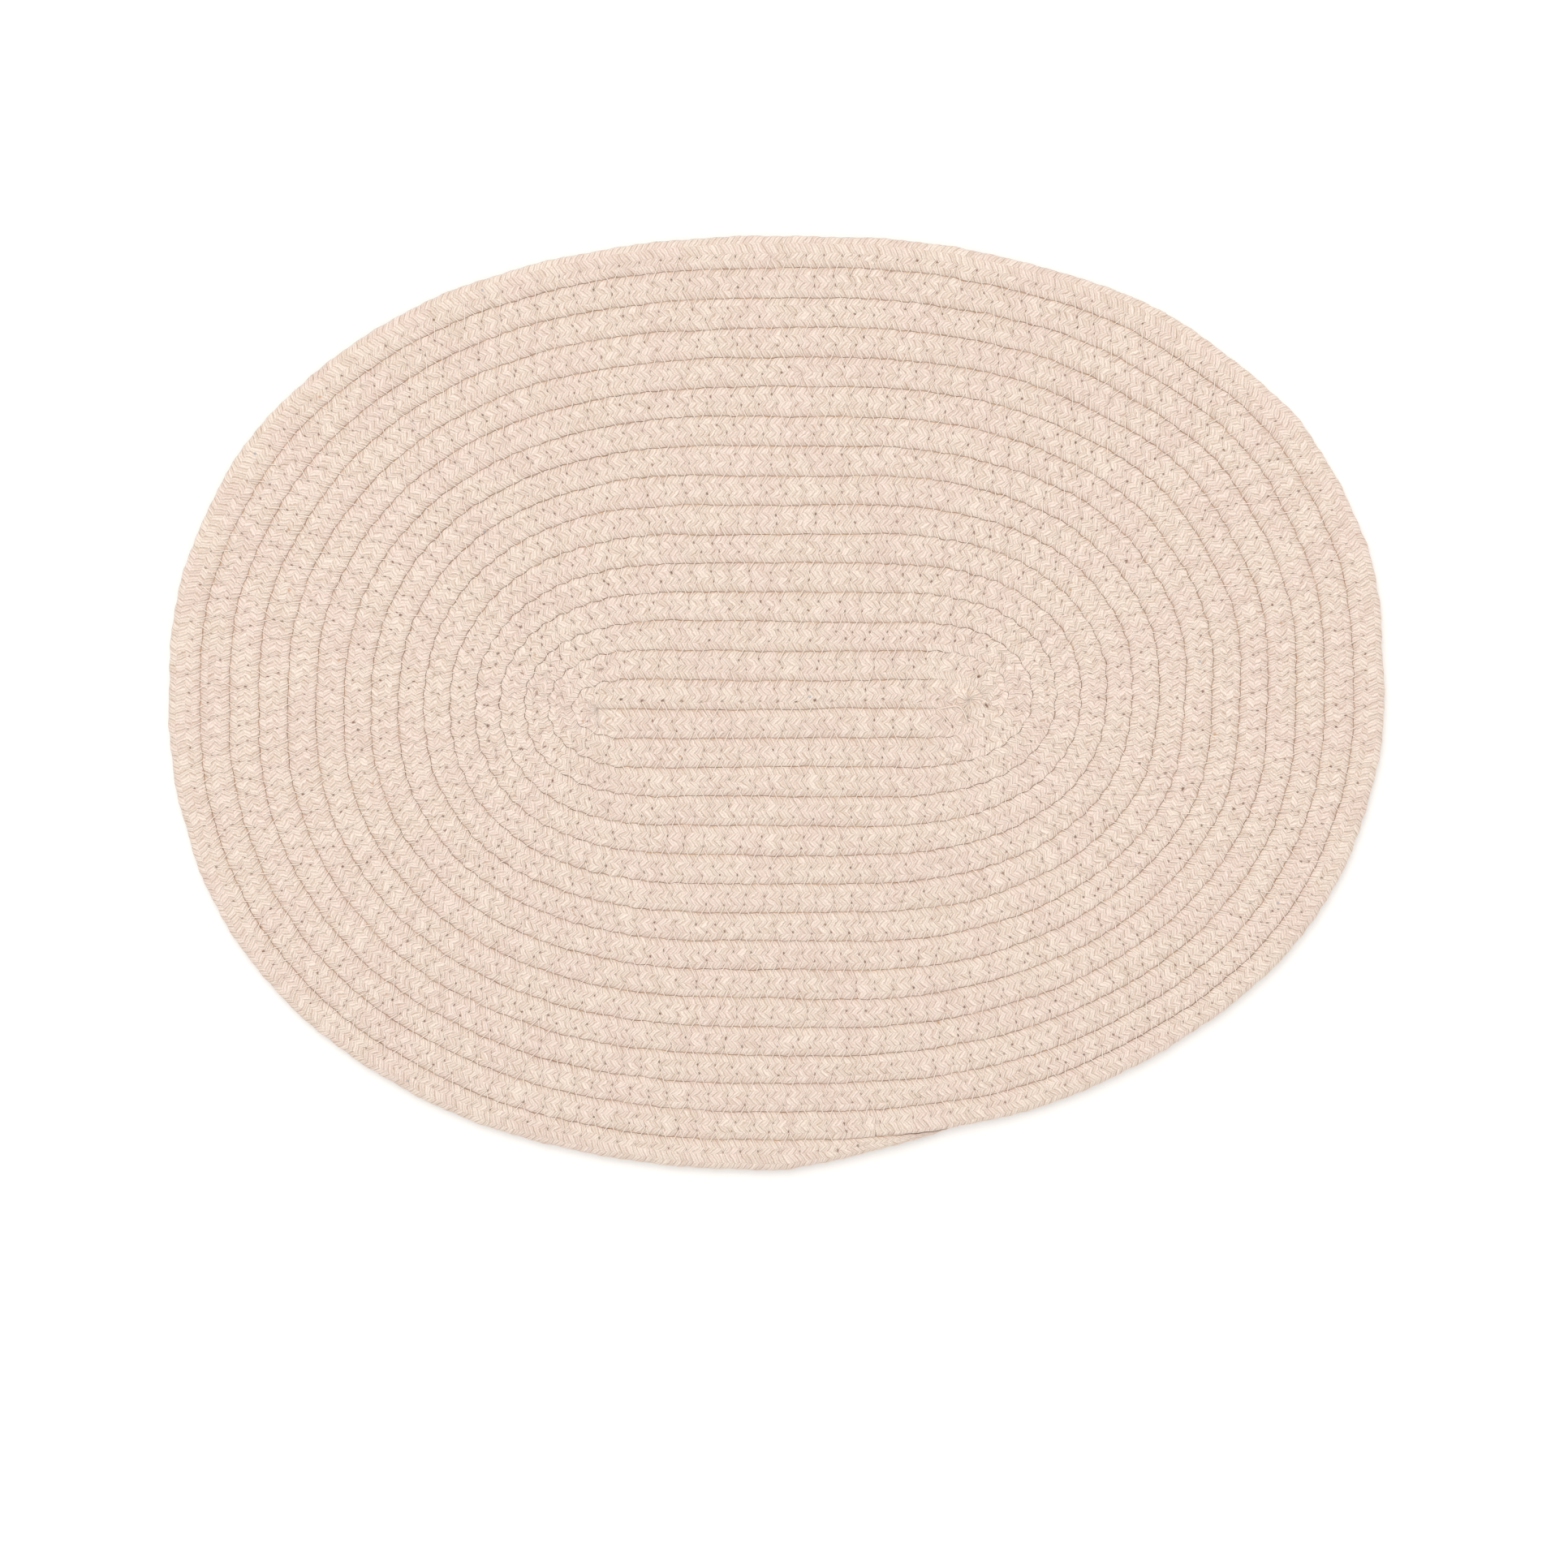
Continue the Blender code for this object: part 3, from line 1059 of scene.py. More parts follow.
@dataclass
class GatheredStart:
    """The cord's cut start: the end of its braid, gathered in pleats over the filling."""

    rows: Rows
    reaches: tuple[float, float, float, float] = (0.0066, 0.0058, 0.0054, 0.0052)
    pleats: int = 19
    spokes: int = 152
    rings: int = 12
    middle: float = 0.03  # share of the reach where the innermost ring is
    height: float = 0.0085
    hollow: float = 0.0005  # how deep its middle is drawn in,
    hollow_reach: float = 0.0016
    pleat_depth: float = 0.00028
    pleat_sizes: tuple[float, float] = (0.55, 0.40)  # the usual share of that, and how it varies
    pleat_limits: tuple[float, float] = (0.05, 1.3)
    bend: float = 1.3  # radians by which the pleats stray
    flat_share: float = 0.35  # of the reach, beyond which it slopes down
    drop: float = 0.0016  # of its rim
    thickness: float = 0.0026
    swirl: float = 0.6  # radians by which its middle is turned
    sway: float = 0.05  # how far it strays round,
    ragged: float = 0.07  # and in and out
    waves: tuple[tuple[int, float], ...] = ((1, 2.0), (2, 3.0), (3, -3.0), (5, 4.0), (7, -5.0))
    strands: int = 10
    ply_share: float = 0.02  # of a band of the braid, to a ring
    far: float = 9.0  # millimetres that it is put from every needle hole in their maps,
    far_step: float = 0.01  # and more with every line and ring
    seed: int = 61

    def reach(self, angle: np.ndarray) -> np.ndarray:
        """How far it reaches, between its reaches along +X, +Y, -X and -Y.

        Args:
            angle: from +X.

        Returns:
            The reach.
        """
        knots = np.arange(5) * np.pi / 2
        return np.interp(angle % (2 * np.pi), knots, (*self.reaches, self.reaches[0]))

    def build(self) -> bpy.types.Object:
        """Makes the gathered end as a flat dome that is closed underneath.

        Returns:
            The piece.
        """
        angle = 2 * np.pi * np.arange(self.spokes + 1)[None, :] / self.spokes
        share = np.linspace(self.middle, 1.0, self.rings)[:, None]
        draw = np.random.default_rng(self.seed)
        wander, size = (self.wandering(draw, angle, share) for _ in range(2))
        twisted = angle + self.swirl * (1 - share) ** 2 + self.sway * wander * share
        reach = self.reach(angle) * share * (1 + self.ragged * wander * share)
        usual, varied = self.pleat_sizes
        pleat = np.cos(self.pleats * angle + self.bend * wander)
        pleat = pleat * np.clip(usual + varied * size, *self.pleat_limits)
        rise = 1 - np.exp(-((reach / self.hollow_reach) ** 2))
        level = self.height - self.hollow * (1 - rise) + self.pleat_depth * pleat * rise
        sloped = np.clip((share - self.flat_share) / (1 - self.flat_share), 0, 1)
        level = level - self.drop * sloped**2
        x, y = self.rows.pucker.centre
        top = np.stack((x + reach * np.cos(twisted), y + reach * np.sin(twisted), level), axis=-1)
        under = top[::-1].copy()
        under[..., 2] = self.height - self.thickness

        def braid(own: Numbers, _: Numbers, line: Numbers, station: Numbers) -> np.ndarray:
            """Plies that run from the rim to the middle."""
            turn = line / self.spokes * self.strands
            return np.stack((turn, 0.5 + self.ply_share * station), axis=-1)

        def far(_: Numbers, __: Numbers, line: Numbers, station: Numbers) -> np.ndarray:
            """Places far from every needle hole."""
            return np.stack((line, station), axis=-1) * self.far_step + self.far

        maps = {BRAID_MAP: braid, **dict.fromkeys(NEEDLE_MAPS, far)}
        spokes = np.concatenate((top, under))[:, :-1].transpose(1, 0, 2)
        return tube("gathered_cord_start", spokes, maps)

    def wandering(
        self, draw: np.random.Generator, angle: np.ndarray, share: np.ndarray
    ) -> np.ndarray:
        """Slow waves round the dome that turn as they go outwards.

        Args:
            draw: what draws their sizes and where they start.
            angle: places round it.
            share: places outwards, from 0 to 1.

        Returns:
            Their sum, by ring and by spoke.
        """
        made = 0.0
        for number, turn in self.waves:
            height = draw.normal(0, 1 / math.sqrt(number))
            phase = draw.uniform(0, 2 * np.pi)
            made = made + height * np.sin(number * angle + phase + turn * share)
        return made


@dataclass
class CordCore:
    """The cord's cotton filling, which shows at the bottom of the seams between two rows."""

    rows: Rows
    outline: tuple[tuple[float, float], ...] = (
        (-0.03, 0.0069),
        (0.12, 0.0071),
        (0.5, 0.0071),
        (0.88, 0.0071),
        (1.03, 0.0069),
        (1.03, 0.0020),
        (0.88, 0.0018),
        (0.5, 0.0018),
        (0.12, 0.0018),
        (-0.03, 0.0020),
    )
    closing: float = 0.0010  # how far its upper edges rise where rows are pressed together
    sunk: float = 0.0010  # how far the rest of its top is drawn down there
    spacing: float = 0.009
    edge: float = 0.03  # share of the row's width by which rows' filling joins under the seams
    bare: float = 0.92  # share of the width that it fills where no row lies outside it
    cover: float = 0.0035  # how wide a row must be to lie outside it

    def build(self) -> bpy.types.Object:
        """Makes the core of the whole coil.

        Returns:
            The piece.
        """
        rows, coil = self.rows, self.rows.coil
        grown = np.maximum(np.diff(rows.step), np.diff(rows.along) / self.spacing)
        places = np.concatenate(((0.0,), np.cumsum(grown)))
        along = np.interp(np.arange(0.5, places[-1] - 0.5), places, rows.along)
        half = coil.thickness / 2
        full = np.clip(rows.width_at(along) / coil.row_pitch, 0, 1)
        tight = rows.tightness(rows.step_at(along))
        outside = np.interp(rows.step_at(along) + coil.turn, rows.step, rows.width, right=0.0)
        covered = outside > self.cover
        lines = []
        for across, height in self.outline:
            inside = np.minimum(across, np.where(covered, 1 + self.edge, self.bare))
            flat = rows.on_row(along, inside)
            level = half + (height - half) * full
            pressed = np.minimum(tight + rows.pucker.pressed(flat), 1.0)
            if height > half:
                level += pressed * (self.closing if abs(across - 0.5) > 0.5 else -self.sunk)
            lines.append(rows.pucker.drawn(np.column_stack((flat, level))))
        return tube("cord_core", np.array(lines), {})


# ---- The sewing ----


class Side(Enum):
    """The mat's two sides, each of which shows one of the sewing's two threads."""

    UPPER = "upper"
    UNDER = "under"


@dataclass
class ZigzagThread:
    """A thread that zigzags over every seam, from needle hole to needle hole."""

    rows: Rows
    side: Side
    radius: float = 0.00022
    flatness: float = 0.8
    sides: int = 4
    hole_depth: float = 0.0013
    rim: float = 0.0009  # from a hole's middle to where the thread comes out,
    most_rim: float = 0.3  # as a share of the stitch at most
    shoulder: float = 0.0015  # from the seam to where the thread leaves the row
    buried: float = 0.00014  # how deep it lies in the braid at most,
    bend_buried: float = 0.00040  # and in the first bends,
    easing: float = 9.0  # turns of the coil in which that falls to about a third
    seed: int = 31

    def holes(self) -> np.ndarray:
        """The needle holes that the thread passes through, in order.

        Returns:
            X and Y of the holes: outside the seam, inside it, and so on.
        """
        rows, needle = self.rows, self.rows.needle
        whole = np.arange(math.ceil(rows.sewn_count[0]), math.floor(rows.sewn_count[-1]))
        step = rows.step_of_stitch(whole)
        reach = rows.outward(step + rows.coil.turn) + needle.strayed(2 * whole)
        outside = rows.seam_at(step) + rows.outward_at(step) * reach[:, None]
        step = rows.step_of_stitch(whole + 0.5)
        reach = needle.inward + needle.strayed(2 * (whole + 1) + (step >= rows.coil.first))
        inside = rows.seam_at(step) - rows.outward_at(step) * reach[:, None]
        both = np.empty((2 * len(whole), 2))
        both[0::2], both[1::2] = outside, inside
        return both

    def path(self) -> np.ndarray:
        """The thread's middle line.

        Returns:
            X, Y and Z of its points.
        """
        needle, coil = self.rows.needle, self.rows.coil
        section = CordSection(coil.thickness, coil.row_pitch)
        holes = self.holes()
        start, end = holes[:-1], holes[1:]
        number = np.arange(len(start))
        span = np.maximum(np.linalg.norm(end - start, axis=1), MM)
        # Even stitches start in the row outside the seam, and odd ones in the row inside it.
        reach = np.where(number % 2 == 0, needle.outward, needle.inward)
        whole = needle.outward + needle.inward
        rim = np.minimum(self.rim / span, self.most_rim)
        stops = [rim, (reach - self.shoulder) / whole, (reach + self.shoulder) / whole, 1 - rim]
        if self.side is Side.UNDER:
            stops[1:3] = [reach / whole]
        seam = self.rows.step_of_stitch(math.ceil(self.rows.sewn_count[0]) + number / 2)
        deep = np.random.default_rng(self.seed).uniform(0, self.buried, len(start))
        turns = np.maximum(seam, 0) / coil.turn
        deep = deep + self.bend_buried * self.rows.bentness(seam) * np.exp(-turns / self.easing)
        deep = deep * (self.side is Side.UPPER)
        points = np.empty((len(start), len(stops) + 1, 3))
        points[:, 0, :2] = start
        points[:, 0, 2] = coil.thickness - self.hole_depth
        for place, share in enumerate(stops, 1):
            off = np.maximum(np.abs(reach - share * whole), self.shoulder) / coil.row_pitch
            points[:, place, :2] = start + (end - start) * share[:, None]
            points[:, place, 2] = section.top(off) - deep
        return self.rows.pucker.drawn(points.reshape(-1, 3))

    def build(self) -> bpy.types.Object:
        """Makes the thread.

        Returns:
            The piece.
        """
        path = self.path()
        if self.side is Side.UNDER:
            path[:, 2] = self.rows.coil.thickness - path[:, 2]
            path[:, 2] = np.maximum(path[:, 2], self.radius * self.flatness)
        places = round_strand(path, self.radius, self.flatness, self.sides)
        maps = {TWIST_MAP: twist(path, self.sides)}
        return tube(f"zigzag_thread_{self.side.value}", places, maps)


def round_strand(path: np.ndarray, radius: float, flatness: float, sides: int) -> np.ndarray:
    """Where the points of a thread are.

    Args:
        path: its middle line.
        radius: half its width.
        flatness: its height as a share of its width.
        sides: how many lines it has.

    Returns:
        X, Y and Z, by line and by station.
    """
    onward = np.gradient(path, axis=0)
    aside = np.column_stack((-onward[:, 1], onward[:, 0], np.zeros(len(path))))
    aside /= np.maximum(np.linalg.norm(aside, axis=1), 1e-9)[:, None]
    up = np.cross(onward, aside)
    up /= np.maximum(np.linalg.norm(up, axis=1), 1e-9)[:, None]
    angles = 2 * np.pi * (np.arange(sides) + 0.5) / sides
    ring = [math.cos(angle) * aside + flatness * math.sin(angle) * up for angle in angles]
    return path + radius * np.array(ring)


def twist(path: np.ndarray, sides: int) -> Painter:
    """What lays out a thread's map.

    Args:
        path: its middle line.
        sides: how many lines it has.

    Returns:
        What gives millimetres along the thread, and turns round it.
    """
    run = lengths(path)

    def paint(_: Numbers, __: Numbers, line: Numbers, station: Numbers) -> np.ndarray:
        """Places along and round the thread."""
        return np.stack((run[station] / MM, line / sides), axis=-1)

    return paint


@dataclass
class ThreadTail:
    """A loose end of sewing thread, given by points in millimetres."""

    name: str
    points: list[tuple[float, float, float]]
    radius: float = 0.00020
    stations: int = 28
    sides: int = 6

    def build(self) -> bpy.types.Object:
        """Makes the tail along a smooth line through its points.

        Returns:
            The piece.
        """
        given = np.array(self.points) * MM
        fine = np.linspace(0, len(given) - 1, self.stations)
        path = smooth_through(fine, given)
        places = round_strand(path, self.radius, 1.0, self.sides)
        return tube(self.name, places, {TWIST_MAP: twist(path, self.sides)})


def smooth_through(at: np.ndarray, given: np.ndarray) -> np.ndarray:
    """Points of a smooth curve that passes through given ones.

    Args:
        at: where the points are wanted, in numbers of the given ones.
        given: rows of X, Y and Z.

    Returns:
        Rows of X, Y and Z.
    """
    slope = np.gradient(given, axis=0)
    left = np.clip(np.floor(at).astype(int), 0, len(given) - 2)
    t = (at - left)[:, None]
    a, b, m, n = given[left], given[left + 1], slope[left], slope[left + 1]
    rise = t * t * (3 - 2 * t)
    return a + (b - a) * rise + m * t * (1 - t) ** 2 - n * t * t * (1 - t)


# ---- Finishes ----


def linear(colour: str) -> tuple[float, float, float, float]:
    """Turns an sRGB hex colour to the linear one that a shader takes.

    Args:
        colour: six hex digits after a hash.

    Returns:
        Red, green, blue and 1.
    """
    parts = [int(colour[n : n + 2], 16) / 255 for n in (1, 3, 5)]
    turned = [p / 12.92 if p <= 0.04045 else ((p + 0.055) / 1.055) ** 2.4 for p in parts]
    return (*turned, 1.0)


class Nodes:
    """A material's nodes: one way to add any of them, and short ways to add those used most."""

    def __init__(self, name: str) -> None:
        """Starts a material whose patterns are laid out by its object's own coordinates.

        Args:
            name: its name.
        """
        self.material = bpy.data.materials.new(name)
        self.material.use_nodes = True
        self.tree = self.material.node_tree
        self.place = self.add("TexCoord", {}, "Object")

    def add(
        self, kind: str, sockets: dict[str | int, object], out: str | int = 0, **settings: object
    ) -> Socket:
        """Adds a node with its settings and links.

        Args:
            kind: the shader node's type.
            sockets: what each input takes: another node's output, or a value.
            out: which of its outputs is wanted.
            settings: its own properties.

        Returns:
            The output.
        """
        node = self.tree.nodes.new(f"ShaderNode{kind}")
        for name, value in settings.items():
            setattr(node, name, value)
        self.feed(node, sockets)
        return node.outputs[out]

    def feed(self, node: bpy.types.Node, sockets: dict[str | int, object]) -> None:
        """Gives a node's inputs other nodes' outputs, or values.

        Args:
            node: the node.
            sockets: what each input takes.
        """
        for socket, value in sockets.items():
            if isinstance(value, Socket):
                self.tree.links.new(value, node.inputs[socket])
            else:
                node.inputs[socket].default_value = value

    def calc(self, operation: str, *terms: Socket | float, **settings: object) -> Socket:
        """Adds a node that works a number out of others."""
        return self.add("Math", dict(enumerate(terms)), operation=operation, **settings)

    def ease(self, value: Socket, start: float, end: float) -> Socket:
        """Goes smoothly from 0 to 1 as a value goes from its start to its end."""
        sockets = {"Value": value, "From Min": start, "From Max": end}
        return self.add("MapRange", sockets, interpolation_type="SMOOTHSTEP")

    def noise(
        self, size: float, detail: float = 2.0, dimensions: str = "3D", **more: float
    ) -> Socket:
        """Adds noise with grains of a size in metres."""
        sockets = {"Vector": self.place, "Scale": 1 / size, "Detail": detail, **more}
        return self.add("TexNoise", sockets, noise_dimensions=dimensions)

    def mix(self, share: Socket, first: str | Socket, second: str | Socket) -> Socket:
        """Goes from one colour to another, each in hex digits or from a node."""
        a, b = (linear(c) if isinstance(c, str) else c for c in (first, second))
        return self.add("Mix", {0: share, 6: a, 7: b}, 2, data_type="RGBA")

    def bump(self, height: Socket, strength: float, depth: float) -> Socket:
        """Adds a bump with a depth in metres."""
        return self.add("Bump", {"Height": height, "Strength": strength, "Distance": depth})

    def finish(self, sockets: dict[str, object]) -> bpy.types.Material:
        """Gives the shader its inputs, and hands the material over."""
        self.feed(self.tree.nodes["Principled BSDF"], sockets)
        return self.material


@dataclass(frozen=True)
class UndyedCottonBraid:
    """Undyed cotton, spun soft and braided: matt warm cream that is never quite one shade."""

    cream: str = "#EDDED1"
    rosy: str = "#ECDBD0"
    shade: str = "#A98468"  # in the gaps between plies and strands, where light is lost
    # painted shade in the needle holes
    hole: str = "#826657"
    seed_husk: str = "#B98A5C"
    blue_lint: str = "#8C93A0"
    ply_count: float = 2.0  # to a strand
    ply_side: tuple[float, float] = (0.02, 0.36)  # of a ply's width, from its edge to its crown
    strand_gap: float = 0.20  # of a strand's width, on either side of its edge
    band_gap: float = 0.16  # of a band's width, and how deep it is beside a strand's:
    band_gap_depth: float = 0.35
    stray: float = 0.5  # of a strand's width, by which strands stray,
    fray: float = 0.28  # and by which their fibres do
    looseness: tuple[float, float] = (0.40, 0.66)  # of the sway, from tight to loose
    tight_gap: float = 0.3  # share of a gap's shade that it has where the braid is tight
    roughness: float = 0.98
    smoother: float = 0.12  # by which the palest lint is less rough
    sheen: float = 0.2
    relief: float = 0.00015  # of a ply's crown over its edge,
    gap_depth: float = 0.9  # and how deep gaps are as a share of it,
    lint_height: float = 0.8  # and how high the lint is
    fibre_width: float = 0.00050
    sway_length: float = 0.0028
    mottle: float = 0.017
    rosiness: tuple[float, float] = (0.38, 0.64)  # of the mottle, from cream to rosy
    ply_shade: tuple[float, float] = (0.17, -0.18)  # at a ply's edge, and what its crown adds
    loose_shade: tuple[float, float] = (0.02, -0.03)  # what each of them gains where it is loose
    gap_shade: float = 0.24
    own_shade: float = 0.24  # by which a ply may be darker than the next
    lint_shade: float = 0.56
    no_shade: float = 0.26  # sum of the shades above, up to which the colour has none
    cell: float = 0.006  # of the patches that draw their own flecks and how open their holes are
    hole_size: tuple[float, float] = (0.55, 0.88)  # half of it, along and across, in millimetres
    hole_stray: tuple[float, float, float] = (1.1, 1.4, 0.0)  # of its edge, in millimetres
    hole_edge: tuple[float, float] = (1.25, 0.25)  # shares of its size where it starts and is full
    least_open: float = 0.45
    fleck_edge: tuple[float, float] = (0.11, 0.07)  # shares of a patch, from none to full
    fleck_rarity: float = 0.995  # share of the patches that have none
    fleck_strength: float = 0.55

    def material(self) -> bpy.types.Material:
        """Makes the material.

        Returns:
            The material.
        """
        made = Nodes("undyed_cotton_braid")
        calc, ease = made.calc, made.ease
        lint = made.noise(self.fibre_width, 1.0, Roughness=0.6)
        sway = made.noise(self.sway_length, 1.0, "2D")
        # Strands stray from even lines, and lie looser in some places than in others.
        even = made.add("SeparateXYZ", {0: made.add("UVMap", {}, uv_map=BRAID_MAP)})
        band = even.node.outputs[1]
        strayed = calc("MULTIPLY_ADD", sway, self.stray, even)
        strayed = calc("MULTIPLY_ADD", lint, self.fray, strayed)
        plies = calc("MULTIPLY", strayed, self.ply_count)
        ply = ease(calc("PINGPONG", plies, 0.5), *self.ply_side)
        beside = ease(calc("PINGPONG", strayed, 0.5), self.strand_gap, 0.0)
        under = ease(calc("PINGPONG", band, 0.5), self.band_gap, 0.0)
        gap = calc("MAXIMUM", beside, calc("MULTIPLY", under, self.band_gap_depth))
        loose = ease(sway, *self.looseness)
        open_gap = calc("MULTIPLY_ADD", loose, 1 - self.tight_gap, self.tight_gap)
        open_gap = calc("MULTIPLY", gap, open_gap)
        own = made.add("CombineXYZ", {0: plies, 1: band})
        own = made.add("VectorMath", {0: own}, operation="FLOOR")
        own = made.add("TexWhiteNoise", {"Vector": own}, noise_dimensions="2D")

        rosy = ease(made.noise(self.mottle, 2.0, "2D"), *self.rosiness)
        edge, crown = (
            calc("MULTIPLY_ADD", loose, gain, shade)
            for gain, shade in zip(self.loose_shade, self.ply_shade, strict=True)
        )
        shade = calc("MULTIPLY_ADD", ply, crown, edge)
        for darker, by in (
            (open_gap, self.gap_shade), (own, self.own_shade), (lint, self.lint_shade)
        ):
            shade = calc("MULTIPLY_ADD", darker, by, shade)
        shade = calc("SUBTRACT", shade, self.no_shade, 0.0, use_clamp=True)
        colour = made.mix(shade, made.mix(rosy, self.cream, self.rosy), self.shade)
        cells = {"Vector": made.place, "Scale": 1 / self.cell}
        cells = made.add("TexVoronoi", cells, voronoi_dimensions="2D").node.outputs
        draw = made.add("SeparateColor", {0: cells["Color"]}).node.outputs
        colour = self.flecked(made, cells["Distance"], draw, colour)
        # The needle holes are painted dark as shade.
        hole = self.needle_hole_shade(made, made.add("CombineXYZ", {0: lint, 1: sway}), draw[2])

        height = calc("MULTIPLY_ADD", gap, -self.gap_depth, ply)
        height = calc("MULTIPLY_ADD", lint, self.lint_height, height)
        return made.finish(
            {
                "Base Color": made.mix(hole, colour, self.hole),
                "Normal": made.bump(height, 0.8, self.relief),
                "Roughness": calc("MULTIPLY_ADD", lint, -self.smoother, self.roughness),
                "Sheen Weight": self.sheen,
                "Sheen Roughness": 0.5,
                "Specular IOR Level": 0.0,
            }
        )

    def needle_hole_shade(self, made: Nodes, stray: Socket, chance: Socket) -> Socket:
        """Adds the mask of the painted shade in the needle holes, some of which have half closed
        again.

        Args:
            made: the material's nodes.
            stray: noise that makes their edges uneven.
            chance: what a patch of the mat has drawn, which says how open its holes are.

        Returns:
            Near 1 in a hole, where the shade is painted, and 0 outside, on whichever line of holes
            it is.
        """
        size = (1 / self.hole_size[0], 1 / self.hole_size[1], 0.0)
        bent = made.add("VectorMath", {0: stray, 1: (0.5, 0.5, 0.0)}, operation="SUBTRACT")
        masks = []
        for name in NEEDLE_MAPS:
            off = {0: bent, 1: self.hole_stray, 2: made.add("UVMap", {}, uv_map=name)}
            off = made.add("VectorMath", off, operation="MULTIPLY_ADD")
            off = made.add("VectorMath", {0: off, 1: size}, operation="MULTIPLY")
            away = made.add("VectorMath", {0: off}, "Value", operation="LENGTH")
            masks.append(made.ease(away, *self.hole_edge))
        there = made.calc("MAXIMUM", *masks)
        openness = made.calc("MULTIPLY_ADD", chance, 1 - self.least_open, self.least_open)
        return made.calc("MULTIPLY", there, openness)

    def flecked(
        self, made: Nodes, away: Socket, draw: bpy.types.NodeOutputs, colour: Socket
    ) -> Socket:
        """Adds the few flecks of seed husk and of blue lint that undyed cotton keeps.

        Args:
            made: the material's nodes.
            away: how far the middle of a patch of the mat is.
            draw: what that patch has drawn.
            colour: the colour without them.

        Returns:
            The colour with them.
        """
        near = made.ease(away, *self.fleck_edge)
        rare = made.calc("GREATER_THAN", draw[0], self.fleck_rarity)
        which = made.calc("GREATER_THAN", draw[1], 0.5)
        tint = made.mix(which, self.seed_husk, self.blue_lint)
        there = made.calc("MULTIPLY", near, rare)
        there = made.calc("MULTIPLY", there, self.fleck_strength)
        return made.mix(there, colour, tint)


@dataclass(frozen=True)
class CottonSewingThread:
    """Cotton thread, twisted hard: paler and a little smoother than the braid under it."""

    # these two mix by the lint's random tone and by the twist's painted highlight and shade
    pale: str = "#F2E4D8"
    dull: str = "#E3D1C2"
    twist: float = 0.7  # millimetres to a turn
    roughness: float = 0.8
    lint: float = 0.0009
    groove_shade: float = 0.1  # painted shade, by which it is darker between two turns,
    crown_highlight: float = 0.8  # and painted highlight, by which it is paler on a turn's crown
    depth: float = 0.00008

    def material(self) -> bpy.types.Material:
        """Makes the material.

        Returns:
            The material.
        """
        made = Nodes("cotton_sewing_thread")
        run = made.add("SeparateXYZ", {0: made.add("UVMap", {}, uv_map=TWIST_MAP)})
        turns = made.calc("MULTIPLY_ADD", run, 1 / self.twist, run.node.outputs[1])
        wave = made.calc("PINGPONG", turns, 0.5)
        # A turn's crown is painted paler as highlight and the grooves between turns darker as
        # shade, over the lint's random tone.
        share = made.calc("MULTIPLY_ADD", wave, -self.crown_highlight, made.noise(self.lint))
        share = made.calc("ADD", share, self.groove_shade, use_clamp=True)
        return made.finish(
            {
                "Base Color": made.mix(share, self.pale, self.dull),
                "Normal": made.bump(wave, 0.8, self.depth),
                "Roughness": self.roughness,
                "Specular IOR Level": 0.3,
            }
        )


@dataclass(frozen=True)
class CottonFilling:
    """The loose cotton inside the cord: seen only down in the seams, painted a darker warm tan as
    their shade.
    """

    # both tans are darker than the braid's cream: painted shade at the seams' bottom, which the
    # noise varies at random
    light: str = "#E2CDB8"
    dark: str = "#B8967A"
    grain: float = 0.0038
    contrast: tuple[float, float] = (0.3, 0.68)  # of the noise, from light to dark
    depth: float = 0.0002

    def material(self) -> bpy.types.Material:
        """Makes the material.

        Returns:
            The material.
        """
        made = Nodes("cotton_filling")
        low, high = self.contrast
        grain = {"Value": made.noise(self.grain), "From Min": low, "From Max": high}
        grain = made.add("MapRange", grain)
        return made.finish(
            {
                "Base Color": made.mix(grain, self.light, self.dark),
                "Normal": made.bump(grain, 0.5, self.depth),
                "Roughness": 0.95,
            }
        )


@dataclass(frozen=True)
class MattPaper:
    """Studio background paper: matt, near white, without a grain that shows."""

    white: str = "#F9F8F6"
    grey: str = "#F6F5F3"
    cloud: float = 1 / 3  # metres across the patches of its two whites

    def material(self) -> bpy.types.Material:
        """Makes the material.

        Returns:
            The material.
        """
        made = Nodes("matt_background_paper")
        colour = made.mix(made.noise(self.cloud), self.white, self.grey)
        return made.finish({"Base Color": colour, "Roughness": 0.9, "Specular IOR Level": 0.1})


# ---- The studio ----


@dataclass(frozen=True)
class Lamp:
    """A square soft box that is aimed at the mat."""

    name: str
    azimuth: float  # degrees from +X towards +Y
    elevation: float
    distance: float
    size: float
    power: float
    colour: str = "#FFFFFF"

    def build(self) -> None:
        """Hangs the lamp."""
        data = bpy.data.lights.new(self.name, "AREA")
        data.shape, data.size, data.energy = "SQUARE", self.size, self.power
        data.color = linear(self.colour)[:3]
        lamp = bpy.data.objects.new(self.name, data)
        turn, rise = math.radians(self.azimuth), math.radians(self.elevation)
        aim = Vector(
            (math.cos(turn) * math.cos(rise), math.sin(turn) * math.cos(rise), math.sin(rise))
        )
        lamp.location = aim * self.distance
        lamp.rotation_euler = aim.to_track_quat("Z", "Y").to_euler()
        bpy.context.scene.collection.objects.link(lamp)


